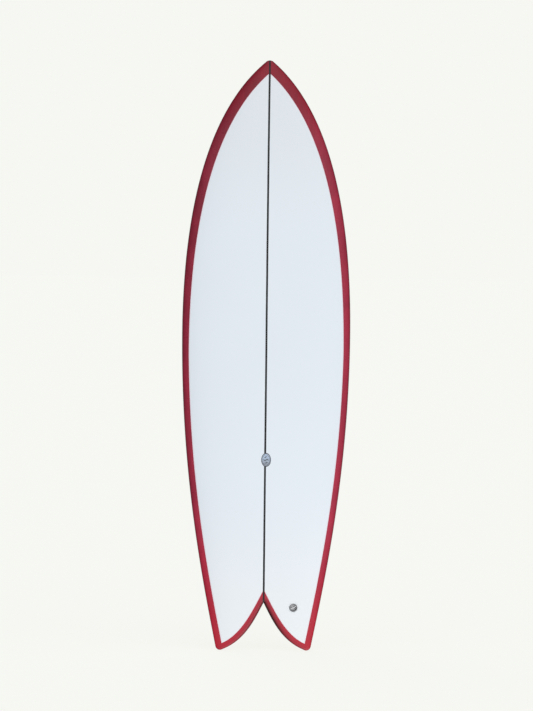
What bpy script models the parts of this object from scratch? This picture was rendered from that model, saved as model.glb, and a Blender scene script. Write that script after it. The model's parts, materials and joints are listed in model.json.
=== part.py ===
"""A twin-keel fish surfboard: foam blank, stringer, glass skins, fin and leash plugs, keel fins.

The board stands upright. +Z runs from the tail to the nose, the deck faces -Y and the bottom faces
+Y. The origin is the middle of the flat patch at the middle of the bottom. A "station" is a
distance from the tail tips towards the nose. All lengths are in metres.
"""
import math

import bmesh
import bpy
import numpy as np
from mathutils import Matrix, Vector

# Board
LENGTH = 1.880
HALF_WIDTH = 0.2683
THICKNESS = 0.064
MIDDLE = LENGTH / 2
NOSE_THICKNESS = 0.014
TAIL_THICKNESS = 0.014
THICKEST = 0.960
NOSE_ROCKER = 0.110
TAIL_ROCKER = 0.045
NOSE_ROCKER_POWER = 2.3
TAIL_ROCKER_POWER = 2.1
FLAT_PATCH = 0.060

# Plan outline, as control points of cubic curves: (station, distance from the stringer)
WIDE_POINT = 1.011
NOSE_CURVE = [(1.885, 0.0), (1.7813, 0.1335), (1.5446, HALF_WIDTH), (WIDE_POINT, HALF_WIDTH)]
TAIL_CURVE = [(WIDE_POINT, HALF_WIDTH), (0.570, HALF_WIDTH), (0.236, 0.1988), (0.0, 0.1497)]
CROTCH = 0.152
CUT_CURVE = [(CROTCH, 0.0), (0.0922, 0.0299), (0.0274, 0.0600), (0.0, 0.1355)]
NOSE_RADIUS = 0.0188
NOSE_TANGENT = LENGTH - 0.0040
TIP_RADIUS = 0.0143
TIP_CENTRE = 0.1380
TIP_OUTER_TANGENT = 0.0114
TIP_CUT_TANGENT = 0.0008

# Section shape: a crowned deck, a rail, and a bottom that is flat inside BOTTOM_FLAT of its width
CROWN_POWER = 3.0
BOTTOM_FLAT = 0.35
NOSE_ROUNDING = 0.022
RAIL_HEIGHT_TAIL = 0.30
RAIL_HEIGHT_RISE = 0.18
RAIL_HEIGHT_REACH = 1.3
BOTTOM_POWER_TAIL = 14.0
BOTTOM_POWER_FALL = 9.0
BOTTOM_POWER_REACH = 1.2

# Rounded edges of the swallow cut, kept within a part of the lobe's width and of the wall's height
DECK_EDGE_RADIUS = 0.010
BOTTOM_EDGE_RADIUS = 0.0035
EDGE_WIDTH_PART = 0.3
DECK_EDGE_HEIGHT_PART = 0.55
BOTTOM_EDGE_HEIGHT_PART = 0.25
LEAST_LEAN = 0.2

# How finely the board is made
CURVE_POINTS = 400
DECK_STEPS = 9
BOTTOM_STEPS = 6
EDGE_STEPS = 3
LOBE_STEPS = 9
AFT_STEPS = 8
FORE_STEPS = 14
LOBE_EASING = 1.7
AFT_EASING = 1.25
FORE_EASING = 1.9
RAIL_SPACING_POWER = 0.25

# Glass skins over the blank. The lap is where the bottom skin ends on the deck
SKIN = 0.0009
GAP = 0.0003
LAP_WIDTH = 0.021
LAP_GROWTH = 0.014
LAP_GROWTH_START = 0.950
LAP_CUT_CURVE = [(0.194, 0.0), (0.1355, 0.0310), (0.0508, 0.0667), (0.0215, 0.1335)]
LAP_CROTCH_SLOPE = 0.5
CROSSING_HALVINGS = 20

STRINGER_WIDTH = 0.0048

# Oval mark under the deck glass
DECAL_STATION = 0.609
DECAL_X = 0.003
DECAL_SIZE = (0.031, 0.044)
DECAL_THICKNESS = 0.0003
DECAL_POCKET = 0.0006

# Leash plug
LEASH_STATION = 0.137
LEASH_X = 0.095
LEASH_CUP_RADIUS = 0.0130
LEASH_CUP_DEPTH = 0.0160
LEASH_BOWL_RADIUS = 0.0098
LEASH_BOWL_DEPTH = 0.0130
LEASH_BOWL_CORNER = (0.0022, 0.0026)
LEASH_BOWL_FLOOR_RISE = 0.0004
LEASH_LIP = 0.0008
LEASH_RIM_CHAMFER = 0.0006
LEASH_BAR_RADIUS = 0.0020
LEASH_BAR_DEPTH = 0.0050
LEASH_BAR_HALF = 0.0112
LEASH_BAR_ANGLE = math.radians(27)
LEASH_BED_RADIUS = 0.0160
LEASH_BED_FLOOR = 0.0017

# Fin plugs, two under each keel
FIN_STATION = 0.264
FIN_X = 0.158
FIN_TOE_IN = math.radians(2)
FIN_CANT = math.radians(4)
PLUG_SPACING = 0.062
PLUG_RADIUS = 0.0150
PLUG_DEPTH = 0.0160
SLOT_SIZE = (0.0262, 0.0068, 0.0140)
FIN_BED_RADIUS = 0.0180
FIN_BED_FLOOR = 0.0022

# Grub screws, which press on the side of a fin tab
SCREW_ENTRY = 0.0105
SCREW_TILT = math.radians(35)
SCREW_RADIUS = 0.0023
SCREW_START = 0.0020
SCREW_END = 0.0090
SCREW_SOCKET_RADIUS = 0.0014
SCREW_SOCKET_DEPTH = 0.0025
SCREW_HOLE_EXTRA = 0.003
HEX_SIDES = 6

# Keel fins. The outline is in the fin's own plane: (distance forward of its middle, depth)
FIN_BASE = 0.225
FIN_DEPTH = 0.127
LEADING_CURVE = [(FIN_BASE / 2, 0.0), (0.045, 0.060), (-0.020, 0.118), (-0.075, FIN_DEPTH)]
TRAILING_CURVE = [(-FIN_BASE / 2, 0.0), (-0.096, 0.045), (-0.142, 0.112), (-0.100, FIN_DEPTH)]
FIN_THICKNESS = 0.0085
FIN_TIP_THINNING = 0.65
FIN_FOIL_POWER = 0.7
FIN_EDGE = 0.0006
FIN_LIFT = 0.0006
FIN_LEVELS = 10
FIN_CHORD_STEPS = 9
TAB_SIZE = (0.0254, 0.0062, 0.0135)
TAB_OVERLAP = 0.0040

OVERSHOOT = 0.010
SLOPE_STEP = 0.002
ROUND_SEGMENTS = 32
SMALL_SEGMENTS = 20
SHARP_ANGLE = math.radians(35)


def clear_scene():
    for item in list(bpy.data.objects):
        bpy.data.objects.remove(item, do_unlink=True)


def collection(name):
    group = bpy.data.collections.new(name)
    bpy.context.scene.collection.children.link(group)
    return group


def material(name, colour, roughness, metallic=0.0):
    made = bpy.data.materials.new(name)
    made.use_nodes = True
    shader = made.node_tree.nodes["Principled BSDF"]
    shader.inputs["Base Color"].default_value = (*colour, 1.0)
    shader.inputs["Roughness"].default_value = roughness
    shader.inputs["Metallic"].default_value = metallic
    return made


# ---------------------------------------------------------------- board shape


def bezier(points):
    """Points along a cubic curve."""
    a, b, c, d = (np.array(point) for point in points)
    t = np.linspace(0.0, 1.0, CURVE_POINTS)[:, None]
    return (1 - t) ** 3 * a + 3 * (1 - t) ** 2 * t * b + 3 * (1 - t) * t * t * c + t**3 * d


def bezier_heading(points):
    """The curve's direction at each of those points."""
    a, b, c, d = (np.array(point) for point in points)
    t = np.linspace(0.0, 1.0, CURVE_POINTS)[:, None]
    along = (1 - t) ** 2 * (b - a) + 2 * (1 - t) * t * (c - b) + t * t * (d - c)
    return along / np.linalg.norm(along, axis=1)[:, None]


def lookup(place, value):
    """Linear reading of a curve, by its first coordinate."""
    order = np.argsort(place[:, 0])
    return float(np.interp(value, place[order, 0], place[order, 1]))


NOSE_LINE = bezier(NOSE_CURVE)
TAIL_LINE = bezier(TAIL_CURVE)
CUT_LINE = bezier(CUT_CURVE)
CUT_LEAN = np.column_stack([CUT_LINE[:, 0], np.abs(bezier_heading(CUT_CURVE)[:, 0])])
LAP_CUT_LINE = bezier(LAP_CUT_CURVE)
LEADING_LINE = bezier(LEADING_CURVE)
TRAILING_LINE = bezier(TRAILING_CURVE)


def lap_outline():
    """The lap's line along the rails: the outline moved inwards, more towards the nose."""
    place = np.vstack([NOSE_LINE, TAIL_LINE])
    along = np.vstack([bezier_heading(NOSE_CURVE), bezier_heading(TAIL_CURVE)])
    inwards = np.column_stack([-along[:, 1], along[:, 0]])
    growth = np.clip((place[:, 0] - LAP_GROWTH_START) / (LENGTH - LAP_GROWTH_START), 0.0, 1.0)
    width = LAP_WIDTH + LAP_GROWTH * growth
    return place + inwards * width[:, None]


LAP_LINE = lap_outline()


def outer_edge(station):
    """Distance from the stringer to the rail."""
    if station > NOSE_TANGENT:
        return math.sqrt(max(NOSE_RADIUS**2 - (station - LENGTH + NOSE_RADIUS) ** 2, 0.0))
    if station < TIP_OUTER_TANGENT:
        return TIP_CENTRE + math.sqrt(max(TIP_RADIUS**2 - (TIP_RADIUS - station) ** 2, 0.0))
    return lookup(NOSE_LINE if station > WIDE_POINT else TAIL_LINE, station)


def cut_edge(station):
    """Distance from the stringer to the swallow cut, which is 0 ahead of the crotch."""
    if station >= CROTCH:
        return 0.0
    if station < TIP_CUT_TANGENT:
        return TIP_CENTRE - math.sqrt(max(TIP_RADIUS**2 - (TIP_RADIUS - station) ** 2, 0.0))
    return lookup(CUT_LINE, station)


def lap_field(x, station):
    """Positive inside the clear part of the deck, zero on the lap's line."""
    ahead = station - LAP_CUT_LINE[0, 0]
    inner = lookup(LAP_CUT_LINE, station) if ahead < 0 else -ahead * LAP_CROTCH_SLOPE
    return min(lookup(LAP_LINE, station) - abs(x), abs(x) - inner)


def rocker(station):
    """How far the bottom has risen towards the deck's side."""
    reach = MIDDLE - FLAT_PATCH
    ahead = (station - MIDDLE - FLAT_PATCH) / reach
    behind = (MIDDLE - FLAT_PATCH - station) / reach
    return (
        NOSE_ROCKER * max(ahead, 0.0) ** NOSE_ROCKER_POWER
        + TAIL_ROCKER * max(behind, 0.0) ** TAIL_ROCKER_POWER
    )


def foil(station):
    """Thickness along the stringer."""
    if station > THICKEST:
        end, part = NOSE_THICKNESS, (station - THICKEST) / (LENGTH - THICKEST)
    else:
        end, part = TAIL_THICKNESS, (THICKEST - station) / THICKEST
    return end + (THICKNESS - end) * (1.0 - part**2)


def rail_height(station):
    """The rail's apex as a part of the thickness, lower towards the tail."""
    reach = min(station / RAIL_HEIGHT_REACH, 1.0)
    return RAIL_HEIGHT_TAIL + RAIL_HEIGHT_RISE * math.sin(math.pi / 2 * reach)


def bottom_power(station):
    """A soft rail forward and a harder one at the tail."""
    reach = min(station / BOTTOM_POWER_REACH, 1.0)
    return BOTTOM_POWER_TAIL - BOTTOM_POWER_FALL * math.sin(math.pi / 2 * reach)


def nose_end(station):
    """Rounds the thickness off at the nose, as a factor."""
    left = 1.0 - min(max(LENGTH - station, 0.0) / NOSE_ROUNDING, 1.0)
    return math.sqrt(1.0 - left**2)


def deck_y(x, station):
    part = min(abs(x) / outer_edge(station), 1.0)
    apex = rail_height(station)
    crown = math.sqrt(1.0 - part**CROWN_POWER) * nose_end(station)
    return -rocker(station) - foil(station) * (apex + (1.0 - apex) * crown)


def bottom_y(x, station):
    part = min(abs(x) / outer_edge(station), 1.0)
    beyond = max((part - BOTTOM_FLAT) / (1.0 - BOTTOM_FLAT), 0.0)
    fullness = math.sqrt(1.0 - beyond ** bottom_power(station)) * nose_end(station)
    return -rocker(station) - foil(station) * rail_height(station) * (1.0 - fullness)


def cut_distance(x, station):
    """Distance in plan from the swallow cut."""
    starts, strides = CUT_LINE[:-1], np.diff(CUT_LINE, axis=0)
    offsets = np.array([station, x]) - starts
    parts = np.clip((offsets * strides).sum(axis=1) / (strides**2).sum(axis=1), 0.0, 1.0)
    return float(np.linalg.norm(offsets - parts[:, None] * strides, axis=1).min())


def cut_drop(x, station, radius):
    """How far an edge rounded to a radius has fallen away, near the swallow cut."""
    inside = max(radius - cut_distance(x, station), 0.0)
    return radius - math.sqrt(radius**2 - inside**2)


def eased(start, stop, steps, power):
    return [start + (stop - start) * (step / steps) ** power for step in range(steps + 1)]


def board_stations():
    """Stations from the tail to the nose, close together where the outline turns."""
    lobes = eased(TIP_CUT_TANGENT, CROTCH, LOBE_STEPS, LOBE_EASING)
    rounding = [CROTCH + DECK_EDGE_RADIUS / 3, CROTCH + DECK_EDGE_RADIUS]
    aft = eased(CROTCH, MIDDLE - FLAT_PATCH, AFT_STEPS, AFT_EASING)
    fore = eased(LENGTH - TIP_CUT_TANGENT, MIDDLE + FLAT_PATCH, FORE_STEPS, FORE_EASING)
    return lobes + rounding + aft[1:] + fore[::-1]


def section_columns(inner, outer, edge, parts):
    """Places across a section: the steps of a rounded edge, then the rest out to the rail."""
    turns = [1.0 - math.cos(math.pi / 2 * step / EDGE_STEPS) for step in range(EDGE_STEPS)]
    start = inner + edge
    return [inner + edge * turn for turn in turns] + [start + (outer - start) * part for part in parts]


def half_section(station):
    """One side's points, on the deck and on the bottom, both from the middle to the rail."""
    inner, outer = cut_edge(station), outer_edge(station)
    height = bottom_y(inner, station) - deck_y(inner, station)
    room = EDGE_WIDTH_PART * (outer - inner)
    deck_radius = min(DECK_EDGE_RADIUS, room, DECK_EDGE_HEIGHT_PART * height)
    bottom_radius = min(BOTTOM_EDGE_RADIUS, room, BOTTOM_EDGE_HEIGHT_PART * height)
    lean = max(lookup(CUT_LEAN, station), LEAST_LEAN)
    deck_parts = [
        math.sin(math.pi / 2 * step / DECK_STEPS) ** (2.0 / CROWN_POWER)
        for step in range(DECK_STEPS + 1)
    ]
    rail_parts = [
        math.sin(math.pi / 2 * step / BOTTOM_STEPS) ** RAIL_SPACING_POWER
        for step in range(BOTTOM_STEPS)
    ]
    bottom_parts = [0.0] + [BOTTOM_FLAT + (1.0 - BOTTOM_FLAT) * part for part in rail_parts]
    deck = section_columns(inner, outer, min(deck_radius / lean, room), deck_parts)
    bottom = section_columns(inner, outer, min(bottom_radius / lean, room), bottom_parts)
    z = station - MIDDLE
    return (
        [(x, deck_y(x, station) + cut_drop(x, station, deck_radius), z) for x in deck],
        [(x, bottom_y(x, station) - cut_drop(x, station, bottom_radius), z) for x in bottom],
    )


def board_surface():
    """The board's closed outer surface, with its deck vertices marked."""
    bm = bmesh.new()
    on_deck = bm.verts.layers.int.new("deck")
    stations = board_stations()
    crotch = stations.index(CROTCH)
    for side in (1, -1):
        rings = []
        for station in stations:
            deck, bottom = half_section(station)
            ring = [bm.verts.new((side * x, y, z)) for x, y, z in deck + bottom[::-1]]
            for vertex in ring[: len(deck)]:
                vertex[on_deck] = 1
            rings.append(ring)
        for index, (low, high) in enumerate(zip(rings, rings[1:])):
            closed = index < crotch
            for step in range(len(low) if closed else len(low) - 1):
                after = (step + 1) % len(low)
                bm.faces.new((low[step], low[after], high[after], high[step]))
        tail_y = -rocker(0.0) - foil(0.0) * rail_height(0.0)
        tail = bm.verts.new((side * TIP_CENTRE, tail_y, -MIDDLE))
        nose_y = -rocker(LENGTH) - foil(LENGTH) * rail_height(LENGTH)
        nose = bm.verts.new((0.0, nose_y, MIDDLE))
        for step in range(len(rings[0])):
            bm.faces.new((rings[0][step], tail, rings[0][(step + 1) % len(rings[0])]))
        for first, second in zip(rings[-1], rings[-1][1:]):
            bm.faces.new((first, second, nose))
    bmesh.ops.remove_doubles(bm, verts=bm.verts[:], dist=1e-6)
    bmesh.ops.triangulate(bm, faces=bm.faces[:], quad_method="FIXED")
    bmesh.ops.recalc_face_normals(bm, faces=bm.faces[:])
    return bm


def move_inwards(bm, distance):
    bm.normal_update()
    places = [vertex.co - vertex.normal * distance for vertex in bm.verts]
    for vertex, place in zip(bm.verts, places):
        vertex.co = place


def keep_slab(bm, low, high):
    """Keeps what lies between two planes across X, and closes it there."""
    for where, outwards in ((low, -1.0), (high, 1.0)):
        if where is None:
            continue
        geometry = bm.verts[:] + bm.edges[:] + bm.faces[:]
        bmesh.ops.bisect_plane(
            bm, geom=geometry, plane_co=(where, 0, 0), plane_no=(outwards, 0, 0),
            clear_outer=True, dist=1e-7,
        )
        rim = [edge for edge in bm.edges if edge.is_boundary]
        bmesh.ops.holes_fill(bm, edges=rim, sides=0)
    bmesh.ops.triangulate(bm, faces=bm.faces[:])


def crossing(start, end, level):
    """Where the lap field passes a level between two points, as a part of the way."""
    low, high = 0.0, 1.0
    rising = lap_field(end.x, end.z + MIDDLE) > level
    for _ in range(CROSSING_HALVINGS):
        part = (low + high) / 2
        place = start.lerp(end, part)
        if (lap_field(place.x, place.z + MIDDLE) > level) == rising:
            high = part
        else:
            low = part
    return (low + high) / 2


def split_at_lap(bm, inside, gap):
    """Keeps the part of the surface inside the lap's line, or the part outside it."""
    on_deck = bm.verts.layers.int["deck"]
    level = gap if inside else -gap
    value = {}
    for vertex in bm.verts:
        field = lap_field(vertex.co.x, vertex.co.z + MIDDLE) - level
        value[vertex] = field if vertex[on_deck] else -1.0
    for edge in [e for e in bm.edges if value[e.verts[0]] * value[e.verts[1]] < 0.0]:
        start, end = edge.verts
        part = crossing(start.co, end.co, level)
        _, made = bmesh.utils.edge_split(edge, start, part)
        value[made] = 0.0
    for face in bm.faces[:]:
        ends = [vertex for vertex in face.verts if value[vertex] == 0.0]
        if len(ends) == 2 and not bm.edges.get(ends):
            bmesh.utils.face_split(face, ends[0], ends[1])
    sign = 1.0 if inside else -1.0
    unwanted = [face for face in bm.faces if min(sign * value[v] for v in face.verts) < 0.0]
    bmesh.ops.delete(bm, geom=unwanted, context="FACES")
    bmesh.ops.triangulate(bm, faces=bm.faces[:])


# ---------------------------------------------------------------- objects


def add_object(name, bm, group, look=None, place=None):
    mesh = bpy.data.meshes.new(name)
    bm.to_mesh(mesh)
    bm.free()
    mesh.shade_smooth()
    mesh.set_sharp_from_angle(angle=SHARP_ANGLE)
    made = bpy.data.objects.new(name, mesh)
    group.objects.link(made)
    if look is not None:
        mesh.materials.append(look)
    if place is not None:
        made.matrix_world = place
    return made


def add_cutter(name, bm, place):
    made = add_object(name, bm, cutters, place=place)
    made.hide_render = True
    made.display_type = "WIRE"
    return made


def boolean(target, tool, operation="DIFFERENCE"):
    modifier = target.modifiers.new(tool.name, "BOOLEAN")
    modifier.operation = operation
    modifier.solver = "EXACT"
    modifier.object = tool


def cylinder(radius, bottom, top, segments=ROUND_SEGMENTS):
    bm = bmesh.new()
    middle = Matrix.Translation((0, 0, (bottom + top) / 2))
    bmesh.ops.create_cone(
        bm, cap_ends=True, segments=segments, radius1=radius, radius2=radius,
        depth=top - bottom, matrix=middle,
    )
    return bm


def box(size, centre):
    bm = bmesh.new()
    bmesh.ops.create_cube(bm, size=1.0, matrix=Matrix.Translation(centre) @ Matrix.Diagonal((*size, 1.0)))
    return bm


def surface_frame(x, station, height, outwards, turn=0.0):
    """A frame on the board: Z out of the surface, X towards the nose, turned about Z."""
    step = SLOPE_STEP
    slope_x = (height(x + step, station) - height(x - step, station)) / (2 * step)
    slope_z = (height(x, station + step) - height(x, station - step)) / (2 * step)
    normal = Vector((-slope_x, 1.0, -slope_z)).normalized() * outwards
    forward = Vector((0.0, slope_z, 1.0))
    forward = (forward - forward.dot(normal) * normal).normalized()
    sideways = normal.cross(forward)
    axes = Matrix((forward, sideways, normal)).transposed().to_4x4()
    where = Matrix.Translation((x, height(x, station), station - MIDDLE))
    return where @ axes @ Matrix.Rotation(turn, 4, "Z")


def make_blank_and_skins(pockets, deck_cutters):
    """The two foam halves, the stringer between them, and the two glass skins."""
    outside = board_surface()
    core = outside.copy()
    move_inwards(core, SKIN + GAP)
    wood = STRINGER_WIDTH / 2
    slabs = {
        "foam_blank_left": (None, -wood - GAP, FOAM),
        "stringer": (-wood, wood, STRINGER_WOOD),
        "foam_blank_right": (wood + GAP, None, FOAM),
    }
    made = {}
    for name, (low, high, look) in slabs.items():
        piece = core.copy()
        keep_slab(piece, low, high)
        made[name] = add_object(name, piece, board, look)
    core.free()
    for name, inside, look in (
        ("deck_laminate", True, CLEAR_GLASS),
        ("bottom_laminate", False, RED_GLASS),
    ):
        skin = outside.copy()
        split_at_lap(skin, inside, GAP / 2)
        made[name] = add_object(name, skin, board, look)
        thicken = made[name].modifiers.new("glass", "SOLIDIFY")
        thicken.thickness = SKIN
        thicken.offset = -1.0
    outside.free()
    for pocket, names in pockets:
        for name in names:
            boolean(made[name], pocket)
    for tool in deck_cutters:
        boolean(made["deck_laminate"], tool)


def make_bed(name, radius, inner, depth, floor, place, look):
    """A cured resin cup that holds a plug in the foam."""
    bed = add_object(name, cylinder(radius, -depth - GAP - floor, 0.0), board, look, place)
    hollow = cylinder(inner + GAP, -depth - GAP, OVERSHOOT)
    boolean(bed, add_cutter(name + "_hollow", hollow, place))
    return bed


def make_leash_plug():
    place = surface_frame(LEASH_X, LEASH_STATION, deck_y, -1.0)
    make_bed(
        "leash_plug_bed", LEASH_BED_RADIUS, LEASH_CUP_RADIUS, LEASH_CUP_DEPTH, LEASH_BED_FLOOR,
        place, RESIN,
    )
    corner_in, corner_up = LEASH_BOWL_CORNER
    profile = [
        (0.0, -LEASH_BOWL_DEPTH),
        (LEASH_BOWL_RADIUS - corner_in, -LEASH_BOWL_DEPTH + LEASH_BOWL_FLOOR_RISE),
        (LEASH_BOWL_RADIUS, -LEASH_BOWL_DEPTH + corner_up),
        (LEASH_BOWL_RADIUS, -LEASH_LIP),
        (LEASH_BOWL_RADIUS + LEASH_LIP, 0.0),
        (LEASH_CUP_RADIUS - LEASH_RIM_CHAMFER, 0.0),
        (LEASH_CUP_RADIUS, -LEASH_RIM_CHAMFER),
        (LEASH_CUP_RADIUS, -LEASH_CUP_DEPTH),
        (0.0, -LEASH_CUP_DEPTH),
    ]
    bm = bmesh.new()
    line = [bm.verts.new((radius, 0.0, z)) for radius, z in profile]
    for first, second in zip(line, line[1:]):
        bm.edges.new((first, second))
    cup = add_object("leash_plug_cup", bm, board, GREY_PLASTIC, place)
    turned = cup.modifiers.new("turned", "SCREW")
    turned.steps = ROUND_SEGMENTS
    turned.render_steps = ROUND_SEGMENTS
    turned.use_merge_vertices = True
    turned.merge_threshold = 1e-5
    # Local X points at the nose and local Y towards -X of the board
    lengthwise = place @ Matrix.Translation((0, 0, -LEASH_BAR_DEPTH))
    lengthwise = lengthwise @ Matrix.Rotation(math.pi / 2 + LEASH_BAR_ANGLE, 4, "Z")
    lengthwise = lengthwise @ Matrix.Rotation(math.pi / 2, 4, "Y")
    reach = LEASH_BAR_HALF + GAP
    socket = cylinder(LEASH_BAR_RADIUS + GAP, -reach, reach, SMALL_SEGMENTS)
    boolean(cup, add_cutter("leash_bar_socket", socket, lengthwise))
    bar = cylinder(LEASH_BAR_RADIUS, -LEASH_BAR_HALF, LEASH_BAR_HALF, SMALL_SEGMENTS)
    add_object("leash_plug_bar", bar, board, STEEL, lengthwise)
    pocket_depth = LEASH_CUP_DEPTH + LEASH_BED_FLOOR + 2 * GAP
    pocket = cylinder(LEASH_BED_RADIUS + GAP, -pocket_depth, OVERSHOOT)
    return add_cutter("leash_pocket", pocket, place)


def make_decal():
    place = surface_frame(DECAL_X, DECAL_STATION, deck_y, -1.0)
    width, length = DECAL_SIZE

    def oval(extra, bottom, top):
        bm = cylinder(1.0, bottom, top)
        bmesh.ops.scale(bm, vec=(length / 2 + extra, width / 2 + extra, 1.0), verts=bm.verts[:])
        return bm

    pocket = add_cutter("decal_pocket", oval(GAP, -DECAL_POCKET, OVERSHOOT), place)
    add_object("deck_decal", oval(0.0, -DECAL_THICKNESS, 0.0), board, INK, place)
    return pocket


def screw_frame(plug_place):
    """A frame with Z along a grub screw, out of the board, and its origin at the plug's face."""
    entry = Matrix.Translation((0, SCREW_ENTRY, 0))
    return plug_place @ entry @ Matrix.Rotation(-SCREW_TILT, 4, "X")


def make_fin_plug(label, place):
    """A plug with a slot for a fin tab and a tilted hole for its grub screw, and its bed."""
    make_bed(
        "fin_plug_bed_" + label, FIN_BED_RADIUS, PLUG_RADIUS, PLUG_DEPTH, FIN_BED_FLOOR, place, RESIN
    )
    plug = add_object("fin_plug_" + label, cylinder(PLUG_RADIUS, -PLUG_DEPTH, 0.0), board, WHITE_PLASTIC)
    plug.matrix_world = place
    length, width, depth = SLOT_SIZE
    slot = box((length, width, depth + OVERSHOOT), (0, 0, (OVERSHOOT - depth) / 2))
    boolean(plug, add_cutter("slot_" + label, slot, place))
    along = screw_frame(place)
    hole = cylinder(SCREW_RADIUS + GAP, -SCREW_END - SCREW_HOLE_EXTRA, OVERSHOOT, SMALL_SEGMENTS)
    boolean(plug, add_cutter("screw_hole_" + label, hole, along))
    shank = cylinder(SCREW_RADIUS, -SCREW_END, -SCREW_START, SMALL_SEGMENTS)
    screw = add_object("fin_screw_" + label, shank, board, STEEL, along)
    socket = cylinder(SCREW_SOCKET_RADIUS, -SCREW_START - SCREW_SOCKET_DEPTH, OVERSHOOT, HEX_SIDES)
    boolean(screw, add_cutter("hex_socket_" + label, socket, along))
    pocket_depth = PLUG_DEPTH + FIN_BED_FLOOR + 2 * GAP
    pocket = cylinder(FIN_BED_RADIUS + GAP, -pocket_depth, OVERSHOOT)
    return add_cutter("pocket_" + label, pocket, place)


def fin_section(depth, lean):
    """The ring of points round a fin at one depth: down its outer face and back."""
    share = depth / FIN_DEPTH
    front = lookup(LEADING_LINE[:, ::-1], depth)
    rear = lookup(TRAILING_LINE[:, ::-1], depth)
    half = FIN_THICKNESS / 2 * (1.0 - FIN_TIP_THINNING * share)
    shift = depth * math.tan(FIN_CANT) * lean
    faces = ([], [])
    for step in range(FIN_CHORD_STEPS + 1):
        part = (1.0 - math.cos(math.pi * step / FIN_CHORD_STEPS)) / 2
        along = front + (rear - front) * part
        thick = FIN_EDGE + (half - FIN_EDGE) * (4.0 * part * (1.0 - part)) ** FIN_FOIL_POWER
        faces[0].append((along, shift + thick, depth + FIN_LIFT))
        faces[1].append((along, shift - thick, depth + FIN_LIFT))
    return faces[0] + faces[1][::-1]


def make_fin(side_name, lean, place):
    bm = bmesh.new()
    depths = [FIN_DEPTH * math.sin(math.pi / 2 * step / FIN_LEVELS) for step in range(FIN_LEVELS + 1)]
    rings = [[bm.verts.new(point) for point in fin_section(depth, lean)] for depth in depths]
    for low, high in zip(rings, rings[1:]):
        for step in range(len(low)):
            after = (step + 1) % len(low)
            bm.faces.new((low[step], low[after], high[after], high[step]))
    bm.faces.new(rings[0])
    bm.faces.new(rings[-1])
    bmesh.ops.triangulate(bm, faces=bm.faces[:])
    bmesh.ops.recalc_face_normals(bm, faces=bm.faces[:])
    fin = add_object("fin_" + side_name, bm, board, FIN_GLASS, place)
    length, width, depth = TAB_SIZE
    for end, offset in (("front", PLUG_SPACING / 2), ("rear", -PLUG_SPACING / 2)):
        tab = box((length, width, depth + TAB_OVERLAP), (offset, 0, (TAB_OVERLAP - depth) / 2))
        boolean(fin, add_cutter(f"tab_{side_name}_{end}", tab, place), "UNION")


def make_fin_set(side_name, side):
    """One keel fin with its two plugs. Returns the pockets that the plugs need."""
    place = surface_frame(side * FIN_X, FIN_STATION, bottom_y, 1.0, -side * FIN_TOE_IN)
    make_fin(side_name, side, place)
    half_turn = Matrix.Rotation(math.pi if side > 0 else 0.0, 4, "Z")
    pockets = []
    for end, offset in (("front", PLUG_SPACING / 2), ("rear", -PLUG_SPACING / 2)):
        plug_place = place @ Matrix.Translation((offset, 0, 0)) @ half_turn
        pockets.append(make_fin_plug(f"{side_name}_{end}", plug_place))
    return pockets


clear_scene()
board = collection("twin_keel_fish_surfboard")
cutters = collection("cutters")

FOAM = material("polyurethane foam", (0.86, 0.87, 0.86), 0.8)
STRINGER_WOOD = material("stringer wood", (0.045, 0.040, 0.045), 0.6)
CLEAR_GLASS = material("clear glass", (0.79, 0.84, 0.88), 0.2)
RED_GLASS = material("red tinted glass", (0.32, 0.030, 0.060), 0.2)
INK = material("decal", (0.20, 0.27, 0.36), 0.4)
RESIN = material("resin", (0.72, 0.74, 0.72), 0.25)
GREY_PLASTIC = material("grey plastic", (0.08, 0.08, 0.085), 0.35)
WHITE_PLASTIC = material("white plastic", (0.72, 0.72, 0.70), 0.4)
STEEL = material("stainless steel", (0.55, 0.55, 0.56), 0.3, 1.0)
FIN_GLASS = material("fin glass", (0.30, 0.17, 0.08), 0.2)

leash_pocket = make_leash_plug()
left_pockets = make_fin_set("left", -1)
right_pockets = make_fin_set("right", 1)
skin_pockets = [(leash_pocket, ("deck_laminate", "foam_blank_right"))]
skin_pockets += [(pocket, ("bottom_laminate", "foam_blank_left")) for pocket in left_pockets]
skin_pockets += [(pocket, ("bottom_laminate", "foam_blank_right")) for pocket in right_pockets]
make_blank_and_skins(skin_pockets, [make_decal()])
bpy.context.view_layer.update()
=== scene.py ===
import json
import math

import bmesh
import bpy
import numpy as np
from mathutils import Matrix, Vector


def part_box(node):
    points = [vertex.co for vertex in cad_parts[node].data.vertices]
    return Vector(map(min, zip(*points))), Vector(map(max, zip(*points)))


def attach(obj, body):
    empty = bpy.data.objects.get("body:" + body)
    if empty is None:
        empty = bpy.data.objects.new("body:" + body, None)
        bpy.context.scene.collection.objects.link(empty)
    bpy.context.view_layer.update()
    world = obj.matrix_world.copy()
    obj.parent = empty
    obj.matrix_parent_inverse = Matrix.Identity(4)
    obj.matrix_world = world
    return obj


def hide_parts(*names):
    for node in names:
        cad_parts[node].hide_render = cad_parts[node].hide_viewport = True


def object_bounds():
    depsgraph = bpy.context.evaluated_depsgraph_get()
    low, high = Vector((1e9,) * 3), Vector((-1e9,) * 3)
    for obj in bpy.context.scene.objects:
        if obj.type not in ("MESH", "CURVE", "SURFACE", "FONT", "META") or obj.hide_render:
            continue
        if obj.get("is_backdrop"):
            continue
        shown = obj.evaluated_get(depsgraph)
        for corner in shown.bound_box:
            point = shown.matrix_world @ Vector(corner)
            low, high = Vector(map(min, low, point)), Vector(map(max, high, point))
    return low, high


# The looks of a twin-keel fish surfboard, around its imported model. +Z runs from the tail to the
# nose, the deck faces -Y and the bottom faces +Y. A "station" is a distance from the tail tips
# towards the nose. All lengths are in metres.

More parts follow.
